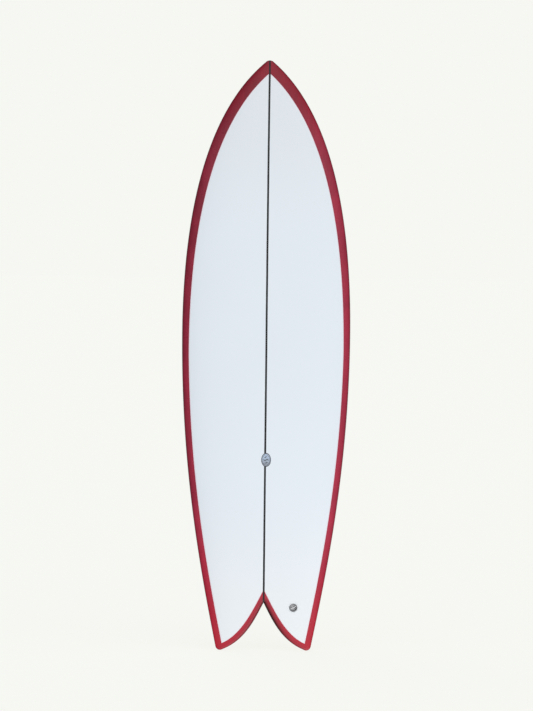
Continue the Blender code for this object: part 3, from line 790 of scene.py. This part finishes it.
def wood_look():
    look = Look("stringer wood", Roughness=0.65)
    look.feed("Base Color", wood_grain(look, (0.030, 0.027, 0.030), (0.070, 0.058, 0.055)))
    look.bump(look.streaks((600.0, 600.0, 12.0), 4.0), 0.2, 0.0003)
    return look.material


def resin_look():
    """Milky cured resin round a plug, set with chopped glass."""
    look = Look("cured resin", Roughness=0.22, Coat_Weight=0.5, Coat_Roughness=0.10)
    fibres = look.noise(260.0, 4.0, 0.65, 1.2)
    shade = look.step(fibres, 0.4, 0.65)
    look.colour(shade, (0.76, 0.80, 0.85), (0.82, 0.86, 0.90))
    look.bump(fibres, 0.06, 0.0004)
    return look.material


def moulded_look(name, dark, light, roughness):
    look = Look(name, Roughness=roughness)
    mould = look.noise(1800.0, 3.0, 0.6)
    look.colour(look.step(look.noise(120.0, 3.0), 0.35, 0.65), dark, light)
    look.rough(mould, roughness - 0.06, roughness + 0.08)
    look.bump(mould, 0.15, 0.0001)
    return look.material


def leash_cup_look():
    """A dark moulded body whose bowl has a pale floor, with painted shade on the bowl's outer corner and
    wall. Z is the plug's own axis.
    """
    look = Look("leash plug plastic", Roughness=0.34)
    outwards = look.add("ShaderNodeVectorMath", {0: look.scaled((1.0, 1.0, 0.0))}, operation="LENGTH")
    radius = outwards.outputs["Value"]
    dark = look.mix(look.noise(300.0, 3.0), (0.085, 0.088, 0.093), (0.120, 0.124, 0.130))
    pale = look.mix(look.noise(300.0, 3.0), (0.90, 0.92, 0.93), (0.95, 0.96, 0.97))
    dark = look.mix(look.step(radius, 0.0094, 0.0108), dark, (0.200, 0.205, 0.212))
    # Painted shade: the bowl is pale only near its middle, and its outer corner and wall take the dark
    # body colour.
    look.colour(look.fade(radius, 0.0084, 0.0096), dark, pale)
    look.bump(look.noise(1500.0, 2.0), 0.12, 0.0001)
    return look.material


def steel_look():
    look = Look("stainless steel", Metallic=1.0, Roughness=0.30)
    brushed = look.streaks((900.0, 900.0, 9000.0), 4.0)
    look.colour(brushed, (0.46, 0.47, 0.49), (0.66, 0.67, 0.68))
    look.rough(brushed, 0.22, 0.38)
    look.bump(brushed, 0.08, 0.00005)
    return look.material


def fin_look():
    """A wood-cored keel: veneer inside a halo of clear glass, under a gloss coat."""
    look = Look("wood-cored fin", Roughness=0.28, Coat_Weight=0.8, Coat_Roughness=0.08)
    slanted = look.add("ShaderNodeMapping", {"Vector": look.place})
    slanted.inputs["Rotation"].default_value = (math.radians(32), 0.0, 0.0)
    grain = look.streaks((190.0, 160.0, 9.0), 6.0, 0.62, 0.9, slanted.outputs[0])
    flecks = look.streaks((1500.0, 900.0, 60.0), 3.0, 0.7, 0.0, slanted.outputs[0])
    pores = look.step(flecks, 0.6, 0.75)
    wood = look.mix(look.step(grain, 0.32, 0.68), (0.165, 0.070, 0.026), (0.390, 0.205, 0.088))
    wood = look.mix(look.times(pores, 0.55), wood, (0.090, 0.036, 0.014))
    weave_tone = look.times(look.noise(700.0, 2.0), 0.5)
    glass = look.mix(weave_tone, (0.60, 0.63, 0.52), (0.74, 0.76, 0.66))
    edge = look.times_add(look.noise(45.0, 2.0), 0.0012, look.attribute("edge"))
    colour = look.mix(look.step(edge, 0.0072, 0.0082), glass, wood)
    fade = look.step(edge, 0.0080, 0.0090, 0.6, 0.0)
    line = look.times(look.step(edge, 0.0066, 0.0074), fade)
    look.colour(line, colour, (0.075, 0.032, 0.014))
    look.bump(grain, 0.05, 0.0003)
    return look.material


def decal_look():
    """A plain oval: a pale ground, a dark border, a ring of dots and three waves."""
    look = Look("printed oval", Roughness=0.30, Coat_Weight=0.5, Coat_Roughness=0.12)
    width, length = DECAL_SIZE
    along = look.times(look.axis("X"), 2 / length)
    side = look.times(look.axis("Y"), 2 / width)
    radius = look.math("SQRT", squares(look, along, side))
    ground = look.mix(look.step(along, -0.9, 0.9), (0.20, 0.23, 0.28), (0.42, 0.53, 0.70))
    blots = look.step(look.noise(220.0, 3.0), 0.4, 0.7, 0.0, 0.35)
    ground = look.mix(blots, ground, (0.60, 0.68, 0.80))
    ink = (0.030, 0.038, 0.060)
    border = look.step(radius, 0.84, 0.88)
    turn = look.math("ARCTAN2", side, along)
    beads = look.step(look.math("COSINE", look.times(turn, 16.0)), 0.1, 0.4)
    band = look.times(look.step(radius, 0.66, 0.69), look.fade(radius, 0.77, 0.80))
    ripple = look.times(look.math("SINE", look.times(side, 7.0)), 0.07)
    rows = look.math("COSINE", look.times(look.math("ADD", along, ripple), 14.0))
    waves = look.times(look.step(rows, 0.45, 0.70), look.fade(radius, 0.50, 0.54))
    colour = look.mix(look.times(beads, band), ground, ink)
    colour = look.mix(waves, colour, ink)
    look.colour(border, colour, ink)
    look.bump(look.noise(500.0, 2.0), 0.03, 0.0002)
    return look.material


# ---- pieces


def link(holder):
    bpy.context.scene.collection.objects.link(holder)


def add_object(name, bm, look, place=None, sharp=35.0):
    mesh = bpy.data.meshes.new(name)
    bm.to_mesh(mesh)
    bm.free()
    mesh.shade_smooth()
    mesh.set_sharp_from_angle(angle=math.radians(sharp))
    mesh.materials.append(look)
    made = bpy.data.objects.new(name, mesh)
    link(made)
    if place is not None:
        made.matrix_world = place
    return made


def settle(piece, body, slot, *nodes):
    """Puts a finished piece on its body and in place of its CAD nodes."""
    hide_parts(*nodes)
    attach(piece, body)


def frozen(target, tools, operation="DIFFERENCE", sharp=35.0):
    """The target once its modifiers are applied, with each tool cut from it or joined to it.

    The tools go. Edges are marked sharp afterwards, so that no new rim is shaded as if it were round.
    """
    for tool in tools:
        modifier = target.modifiers.new(tool.name, "BOOLEAN")
        modifier.operation = operation
        modifier.solver = "EXACT"
        modifier.object = tool
    bpy.context.view_layer.update()
    shaped = target.evaluated_get(bpy.context.evaluated_depsgraph_get())
    result = bpy.data.meshes.new_from_object(shaped)
    target.modifiers.clear()
    bm = bmesh.new()
    bm.from_mesh(result)
    bmesh.ops.remove_doubles(bm, verts=bm.verts[:], dist=MERGE)
    bmesh.ops.dissolve_degenerate(bm, edges=bm.edges[:], dist=MERGE)
    loose = [edge for edge in bm.edges if not edge.link_faces]
    bmesh.ops.delete(bm, geom=loose, context="EDGES")
    bm.to_mesh(result)
    bm.free()
    target.data = result
    for polygon in result.polygons:
        polygon.use_smooth = True
        polygon.material_index = 0
    result.set_sharp_from_angle(angle=math.radians(sharp))
    for tool in tools:
        bpy.data.objects.remove(tool, do_unlink=True)
    return target


def turned(profile, segments=ROUND_STEPS):
    """A closed solid turned about Z from (radius, height) points that start and end on the axis."""
    bm = bmesh.new()
    rings = []
    for radius, height in profile:
        if radius == 0.0:
            rings.append([bm.verts.new((0.0, 0.0, height))] * segments)
            continue
        circle = [circle_point(radius, step, segments, height) for step in range(segments)]
        rings.append([bm.verts.new(point) for point in circle])
    for upper, lower in zip(rings, rings[1:]):
        for step in range(segments):
            corners = [upper[step - 1], upper[step], lower[step], lower[step - 1]]
            bm.faces.new(dict.fromkeys(corners))
    bmesh.ops.recalc_face_normals(bm, faces=bm.faces[:])
    return bm


def rounded_box(size, centre, radius):
    bm = bmesh.new()
    placed = Matrix.Translation(centre) @ Matrix.Diagonal((*size, 1.0))
    bmesh.ops.create_cube(bm, size=1.0, matrix=placed)
    bmesh.ops.bevel(
        bm, geom=bm.edges[:], offset=radius, segments=3, affect="EDGES", profile=0.5, clamp_overlap=True
    )
    return bm


def prism(radius, bottom, top, sides):
    bm = bmesh.new()
    bmesh.ops.create_cone(
        bm, cap_ends=True, segments=sides, radius1=radius, radius2=radius, depth=top - bottom,
        matrix=Matrix.Translation((0, 0, (bottom + top) / 2)),
    )
    return bm


def node_centre(node):
    low, high = (Vector(corner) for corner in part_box(node))
    return (low + high) / 2


def joint_axis(name):
    joint = next(joint for joint in frame["record"]["behaviour"]["joints"] if joint["name"] == name)
    return Vector(joint["axis"]).normalized()


def fitted_frame(origin, outwards, forward):
    """A frame with Z out of the board and X along forward, made square to Z."""
    forward = (forward - forward.dot(outwards) * outwards).normalized()
    axes = Matrix((forward, outwards.cross(forward), outwards)).transposed().to_4x4()
    return Matrix.Translation(origin) @ axes


def fin_frame(side_name):
    """The frame of a fin's base: between its plugs, at their faces, X towards the nose."""
    outwards = joint_axis(side_name + "_keel_slide")
    front = node_centre(f"fin_plug_{side_name}_front")
    rear = node_centre(f"fin_plug_{side_name}_rear")
    origin = (front + rear) / 2 + outwards * PLUG_DEPTH / 2
    return fitted_frame(origin, outwards, front - rear)


def leash_frame():
    mount = next(item for item in frame["record"]["mounts"] if item["name"] == "leash_plug_rim")
    outwards = Vector(mount["axis"]).normalized()
    origin = node_centre("leash_plug_cup") + outwards * LEASH_CUP_DEPTH / 2
    return fitted_frame(origin, outwards, Vector((0, 0, 1)))


def plug_frames(fin_place, side):
    """The frames of a fin's two plugs, each with its grub screw on the side of the stringer."""
    half_turn = Matrix.Rotation(math.pi if side > 0 else 0.0, 4, "Z")
    return {
        end: fin_place @ Matrix.Translation((offset, 0, 0)) @ half_turn
        for end, offset in PLUG_OFFSETS.items()
    }


def bed_mesh(radius, inner, depth, floor):
    low = -depth - GAP - floor
    profile = [
        (0.0, -depth - GAP), (inner + GAP, -depth - GAP), (inner + GAP, -0.0002),
        (inner + GAP + 0.0002, 0.0), (radius - 0.0002, 0.0), (radius, -0.0002), (radius, low), (0.0, low),
    ]
    return turned(profile)


def thicken(piece, thickness):
    """Inwards, so that the surface stays where it is."""
    solid = piece.modifiers.new("thickness", "SOLIDIFY")
    solid.thickness = thickness
    solid.offset = -1.0


def make_skins(surface, leash_place, fin_places):
    deck, bottom = surface.copy(), surface
    split_at_lap(deck, True)
    open_hole(deck, leash_place, LEASH_BED_RADIUS + GAP / 2, deck_y, True)
    split_at_lap(bottom, False)
    for place in fin_places:
        for offset in PLUG_OFFSETS.values():
            spot = place @ Matrix.Translation((offset, 0, 0))
            open_hole(bottom, spot, FIN_BED_RADIUS + GAP / 2, bottom_y, False)
    for name, bm, look, slot, node in (
        ("deck_skin", deck, deck_look(), "clear_glass", "deck_laminate"),
        ("bottom_skin", bottom, red_look(fin_places), "red_glass", "bottom_laminate"),
    ):
        piece = add_object(name, bm, look, sharp=SKIN_SHARP)
        thicken(piece, SKIN)
        settle(frozen(piece, [], sharp=SKIN_SHARP), "board", slot, node)


def make_decal():
    """The oval, laid on the deck's own curve."""
    centre = node_centre("deck_decal")
    place = fitted_frame(Vector((centre.x, 0.0, centre.z)), Vector((0, -1, 0)), Vector((0, 0, 1)))
    width, length = DECAL_SIZE
    bm = bmesh.new()
    circles = []
    for ring in range(1, DECAL_RINGS + 1):
        circle = []
        for spoke in range(DECAL_SPOKES):
            turn = 2 * math.pi * spoke / DECAL_SPOKES
            part = ring / DECAL_RINGS
            along, side = length / 2 * part * math.cos(turn), width / 2 * part * math.sin(turn)
            spot = place @ Vector((along, side, 0.0))
            height = -float(deck_y(spot.x, spot.z + MIDDLE)) + DECAL_LIFT
            circle.append(bm.verts.new((along, side, height)))
        circles.append(circle)
    middle = bm.verts.new((0.0, 0.0, -float(deck_y(centre.x, centre.z + MIDDLE)) + DECAL_LIFT))
    for spoke in range(DECAL_SPOKES):
        bm.faces.new((middle, circles[0][spoke - 1], circles[0][spoke]))
        for inner, outer in zip(circles, circles[1:]):
            bm.faces.new((inner[spoke - 1], outer[spoke - 1], outer[spoke], inner[spoke]))
    piece = add_object("decal_print", bm, decal_look(), place)
    thicken(piece, DECAL_PAPER)
    settle(frozen(piece, []), "board", "decal_print", "deck_decal")


def make_leash_plug(place, resin, steel):
    bed = bed_mesh(LEASH_BED_RADIUS, LEASH_CUP_RADIUS, LEASH_CUP_DEPTH, LEASH_BED_FLOOR)
    settle(add_object("leash_bed", bed, resin, place), "board", "resin", "leash_plug_bed")
    bowl, rim, bend = LEASH_BOWL_RADIUS, LEASH_CUP_RADIUS, LEASH_BOWL_CORNER
    corner = [
        (bowl - bend * (1 - math.sin(a)), -LEASH_BOWL_DEPTH + bend * (1 - math.cos(a)))
        for a in (math.pi / 2 * step / 8 for step in range(9))
    ]
    lip = [
        (bowl, -0.0022), (bowl + 0.0001, -0.0012), (bowl + 0.0005, -0.0004), (bowl + 0.0011, 0.0),
        (rim - 0.0013, 0.0), (rim - 0.0010, -0.0002), (rim - 0.0007, -0.0001), (rim - 0.0003, -0.0002),
        (rim, -0.0006),
    ]
    body = [(rim, -LEASH_CUP_DEPTH + 0.0006), (rim - 0.0006, -LEASH_CUP_DEPTH), (0.0, -LEASH_CUP_DEPTH)]
    profile = [(0.0, -LEASH_BOWL_DEPTH)] + corner + lip + body
    cup = add_object("leash_cup", turned(profile), leash_cup_look(), place)
    lengthwise = place @ Matrix.Translation((0, 0, -LEASH_BAR_DEPTH))
    lengthwise = lengthwise @ Matrix.Rotation(math.pi / 2 + LEASH_BAR_ANGLE, 4, "Z")
    lengthwise = lengthwise @ Matrix.Rotation(math.pi / 2, 4, "Y")
    reach = LEASH_BAR_HALF + GAP
    tool = prism(LEASH_BAR_RADIUS + GAP, -reach, reach, TOOL_STEPS)
    socket = add_object("socket", tool, resin, lengthwise)
    settle(frozen(cup, [socket]), "board", "grey_plastic", "leash_plug_cup")
    half, radius, chamfer = LEASH_BAR_HALF, LEASH_BAR_RADIUS, 0.0005
    profile = [
        (0.0, half), (radius - chamfer, half), (radius, half - chamfer),
        (radius, chamfer - half), (radius - chamfer, -half), (0.0, -half),
    ]
    bar = add_object("leash_bar", turned(profile, SMALL_ROUND_STEPS), steel, lengthwise)
    settle(bar, "board", "steel", "leash_plug_bar")


def screw_frame(plug_place):
    entry = Matrix.Translation((0, SCREW_ENTRY, 0))
    return plug_place @ entry @ Matrix.Rotation(-SCREW_TILT, 4, "X")


def mesh_alone(holder):
    mesh = holder.data
    bpy.data.objects.remove(holder, do_unlink=True)
    return mesh


def plug_mesh(look):
    """A fin plug's mesh, in its own frame: a round body with a tab slot and a screw hole."""
    profile = [
        (0.0, 0.0), (PLUG_RADIUS - 0.0004, 0.0), (PLUG_RADIUS, -0.0004),
        (PLUG_RADIUS, -PLUG_DEPTH + 0.0005), (PLUG_RADIUS - 0.0005, -PLUG_DEPTH), (0.0, -PLUG_DEPTH),
    ]
    plug = add_object("plug", turned(profile), look)
    length, width, depth = SLOT_SIZE
    slot = add_object("slot", rounded_box((length, width, 2 * depth), (0, 0, 0), SLOT_ROUNDING), look)
    entry = screw_frame(Matrix.Identity(4))
    tool = prism(SCREW_RADIUS + GAP, -SCREW_END - SCREW_ROOM, TOOL_TOP, TOOL_STEPS)
    hole = add_object("hole", tool, look, entry)
    return mesh_alone(frozen(plug, [hole, slot]))


def screw_mesh(look):
    """A grub screw's mesh, in its own frame: threads as fine rings, and a hex socket."""
    pitch = (SCREW_END - SCREW_START - 2 * SCREW_CHAMFER) / SCREW_THREADS
    profile = [(0.0, -SCREW_START), (SCREW_RADIUS - SCREW_CHAMFER, -SCREW_START)]
    for turn in range(SCREW_THREADS):
        top = -SCREW_START - SCREW_CHAMFER - turn * pitch
        profile += [(SCREW_RADIUS, top), (SCREW_RADIUS - THREAD_DEPTH, top - pitch / 2)]
    profile += [(SCREW_RADIUS - SCREW_CHAMFER, -SCREW_END), (0.0, -SCREW_END)]
    screw = add_object("screw", turned(profile, SMALL_ROUND_STEPS), look)
    tool = prism(HEX_RADIUS, -SCREW_START - HEX_DEPTH, TOOL_TOP / 2, 6)
    socket = add_object("hex", tool, look)
    return mesh_alone(frozen(screw, [socket], sharp=30.0))


def fin_blade(lean):
    """A keel's blade, with its distance from the outline kept for the clear halo."""
    bm = bmesh.new()
    edge_layer = bm.verts.layers.float.new("edge")
    rings = []
    for level in range(FIN_LEVELS + 1):
        depth = FIN_DEPTH * math.sin(math.pi / 2 * level / FIN_LEVELS)
        front = float(lookup(LEADING_LINE[:, ::-1], depth))
        rear = float(lookup(TRAILING_LINE[:, ::-1], depth))
        half = FIN_THICKNESS / 2 * (1.0 - FIN_TIP_THINNING * depth / FIN_DEPTH)
        near_tip = min(max((depth - FIN_DEPTH + FIN_TIP_ROUND) / FIN_TIP_ROUND, 0.0), 0.995)
        half *= math.sqrt(1.0 - near_tip**2)
        shift = depth * math.tan(FIN_CANT) * lean
        ring = []
        for step in list(range(FIN_CHORD_STEPS + 1)) + list(range(FIN_CHORD_STEPS - 1, 0, -1)):
            face = 1.0 if len(ring) <= FIN_CHORD_STEPS else -1.0
            part = (1.0 - math.cos(math.pi * step / FIN_CHORD_STEPS)) / 2
            inset = min(part, 1.0 - part) * (front - rear)
            bluntness = 1.0 - (1.0 - min(inset / FIN_BLUNTNESS, 1.0)) ** 2
            rim = min(FIN_EDGE, half) * math.sqrt(bluntness)
            thick = rim + max(half - FIN_EDGE, 0.0) * (4.0 * part * (1.0 - part)) ** FIN_FOIL_POWER
            along = front + (rear - front) * part
            vertex = bm.verts.new((along, shift + face * thick, depth + FIN_LIFT))
            away = np.hypot(FIN_OUTLINE[:, 0] - along, FIN_OUTLINE[:, 1] - depth)
            vertex[edge_layer] = float(away.min())
            ring.append(vertex)
        rings.append(ring)
    for low, high in zip(rings, rings[1:]):
        for step in range(len(low)):
            bm.faces.new((low[step - 1], low[step], high[step], high[step - 1]))
    bm.faces.new(rings[0])
    bm.faces.new(rings[-1])
    bmesh.ops.recalc_face_normals(bm, faces=bm.faces[:])
    return bm


def make_fin(side_name, lean, place, look):
    fin = add_object("keel_" + side_name, fin_blade(lean), look)
    tabs = []
    length, width, depth = TAB_SIZE
    for offset in PLUG_OFFSETS.values():
        size = (length, width, depth + TAB_OVERLAP)
        tab = rounded_box(size, (offset, 0, (TAB_OVERLAP - depth) / 2), TAB_ROUNDING)
        tabs.append(add_object("tab", tab, look))
    frozen(fin, tabs, "UNION", 40.0)
    fin.data.transform(place)
    settle(fin, side_name + "_keel", "fin_glass", "fin_" + side_name)


def make_fin_set(side_name, side, place, meshes, looks):
    make_fin(side_name, side, place, looks["fin"])
    for end, plug_place in plug_frames(place, side).items():
        label = f"{side_name}_{end}"
        bed = bed_mesh(FIN_BED_RADIUS, PLUG_RADIUS, PLUG_DEPTH, FIN_BED_FLOOR)
        settle(
            add_object("plug_bed_" + label, bed, looks["resin"], plug_place),
            "board", "resin", "fin_plug_bed_" + label,
        )
        plug = bpy.data.objects.new("plug_" + label, meshes["plug"])
        screw = bpy.data.objects.new("screw_" + label, meshes["screw"])
        for piece, spot in ((plug, plug_place), (screw, screw_frame(plug_place))):
            link(piece)
            piece.matrix_world = spot
        settle(plug, "board", "white_plastic", "fin_plug_" + label)
        settle(screw, label + "_screw", "steel", "fin_screw_" + label)


def dress_hidden_nodes():
    """Materials for the CAD nodes that stay: the foam and the stringer inside the skins."""
    looks = {"foam_blank_left": foam_look(), "stringer": wood_look()}
    looks["foam_blank_right"] = looks["foam_blank_left"]
    for node, look in looks.items():
        holder = frame["nodes"][node]
        for slot in holder.material_slots:
            slot.material = look
        if not holder.material_slots:
            holder.data.materials.append(look)


# ---- stage, light and camera


def glow(name, strength, lit=0.0):
    """Paper that gives off its colour. The lit part of it takes light, so that shadows show."""
    made = bpy.data.materials.new(name)
    made.use_nodes = True
    tree = made.node_tree
    tree.nodes.remove(tree.nodes["Principled BSDF"])
    colour = {"Color": (*PAPER, 1.0)}
    surface = add_node(tree, "ShaderNodeEmission", {**colour, "Strength": strength}).outputs[0]
    if lit:
        sheet = add_node(tree, "ShaderNodeBsdfDiffuse", colour).outputs[0]
        dim = add_node(tree, "ShaderNodeMixShader", {0: lit, 2: sheet}).outputs[0]
        surface = add_node(tree, "ShaderNodeAddShader", {0: surface, 1: dim}).outputs[0]
    tree.links.new(surface, tree.nodes["Material Output"].inputs["Surface"])
    return made


def camera_only(holder):
    """The stage is seen, but gives the board no light and no reflections."""
    for ray in ("diffuse", "glossy", "transmission", "shadow"):
        setattr(holder, "visible_" + ray, False)
    holder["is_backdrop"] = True


def make_stage():
    """A pale floor at the tail tips, and a pale surround of the same colour."""
    floor, surround = bmesh.new(), bmesh.new()
    bmesh.ops.create_circle(floor, cap_ends=True, segments=ROUND_STEPS, radius=FLOOR_RADIUS)
    bmesh.ops.create_uvsphere(surround, u_segments=48, v_segments=24, radius=SURROUND_RADIUS)
    level = Matrix.Translation((0, 0, FLOOR_Z))
    camera_only(add_object("floor", floor, glow("pale floor", FLOOR_GLOW, FLOOR_LIT), level))
    camera_only(add_object("surround", surround, glow("pale surround", 1.0)))


def make_light():
    """Soft studio light from a few broad lobes, which leave nothing sharp to mirror in the gloss."""
    world = bpy.data.worlds.new("studio")
    bpy.context.scene.world = world
    world.use_nodes = True
    tree = world.node_tree
    place = tree.nodes.new("ShaderNodeTexCoord").outputs["Generated"]
    total = AMBIENT
    for direction, tightness, strength in LIGHT_LOBES:
        aim = {0: place, 1: Vector(direction).normalized()}
        cosine = add_node(tree, "ShaderNodeVectorMath", aim, operation="DOT_PRODUCT").outputs["Value"]
        # strength * exp(tightness * (cosine - 1))
        rise = {0: cosine, 1: tightness, 2: math.log(strength) - tightness}
        power = add_node(tree, "ShaderNodeMath", rise, operation="MULTIPLY_ADD").outputs[0]
        lobe = add_node(tree, "ShaderNodeMath", {0: power}, operation="EXPONENT").outputs[0]
        total = add_node(tree, "ShaderNodeMath", {0: total, 1: lobe}, operation="ADD").outputs[0]
    tree.links.new(total, tree.nodes["Background"].inputs["Strength"])
    tree.nodes["Background"].inputs["Color"].default_value = (1.0, 1.0, 1.0, 1.0)


def make_tail_lamp():
    """A broad soft lamp low on the right, which lifts the tail and the right rail."""
    data = bpy.data.lights.new("tail lamp", "AREA")
    data.size = TAIL_LAMP_SIZE
    data.energy = TAIL_LAMP_POWER
    holder = bpy.data.objects.new("tail lamp", data)
    link(holder)
    ahead = Vector(TAIL_LAMP_AIM) - Vector(TAIL_LAMP_PLACE)
    turn = ahead.to_track_quat("-Z", "Y").to_matrix().to_4x4()
    holder.matrix_world = Matrix.Translation(TAIL_LAMP_PLACE) @ turn


def make_camera():
    """A long lens, a little to the left of the board and above its middle, and rolled."""
    data = bpy.data.cameras.new("camera")
    holder = bpy.data.objects.new("camera", data)
    link(holder)
    bpy.context.scene.camera = holder
    data.sensor_width = SENSOR
    data.lens = SENSOR * CAMERA_DISTANCE / FRAME_HEIGHT
    data.clip_end = 200.0
    level = Vector((math.sin(CAMERA_YAW), math.cos(CAMERA_YAW), 0.0))
    ahead = level * math.cos(CAMERA_PITCH) + Vector((0, 0, 1)) * math.sin(CAMERA_PITCH)
    right = Vector((math.cos(CAMERA_YAW), -math.sin(CAMERA_YAW), 0.0))
    up = right.cross(ahead)
    rolled_right = right * math.cos(CAMERA_ROLL) + up * math.sin(CAMERA_ROLL)
    rolled_up = up * math.cos(CAMERA_ROLL) - right * math.sin(CAMERA_ROLL)
    axes = Matrix((rolled_right, rolled_up, -ahead)).transposed().to_4x4()
    holder.matrix_world = Matrix.Translation(Vector(CAMERA_AIM) - ahead * CAMERA_DISTANCE) @ axes


def main():
    make_camera()
    make_light()
    make_tail_lamp()
    make_stage()
    resin, steel = resin_look(), steel_look()
    white = moulded_look("white moulded plastic", (0.68, 0.68, 0.66), (0.76, 0.76, 0.74), 0.40)
    fin_places = {"left": fin_frame("left"), "right": fin_frame("right")}
    leash_place = leash_frame()
    make_skins(board_surface(), leash_place, list(fin_places.values()))
    make_decal()
    make_leash_plug(leash_place, resin, steel)
    meshes = {"plug": plug_mesh(white), "screw": screw_mesh(steel)}
    looks = {"fin": fin_look(), "resin": resin}
    make_fin_set("left", -1, fin_places["left"], meshes, looks)
    make_fin_set("right", 1, fin_places["right"], meshes, looks)
    dress_hidden_nodes()
    bpy.context.scene.view_settings.view_transform = "Standard"


main()
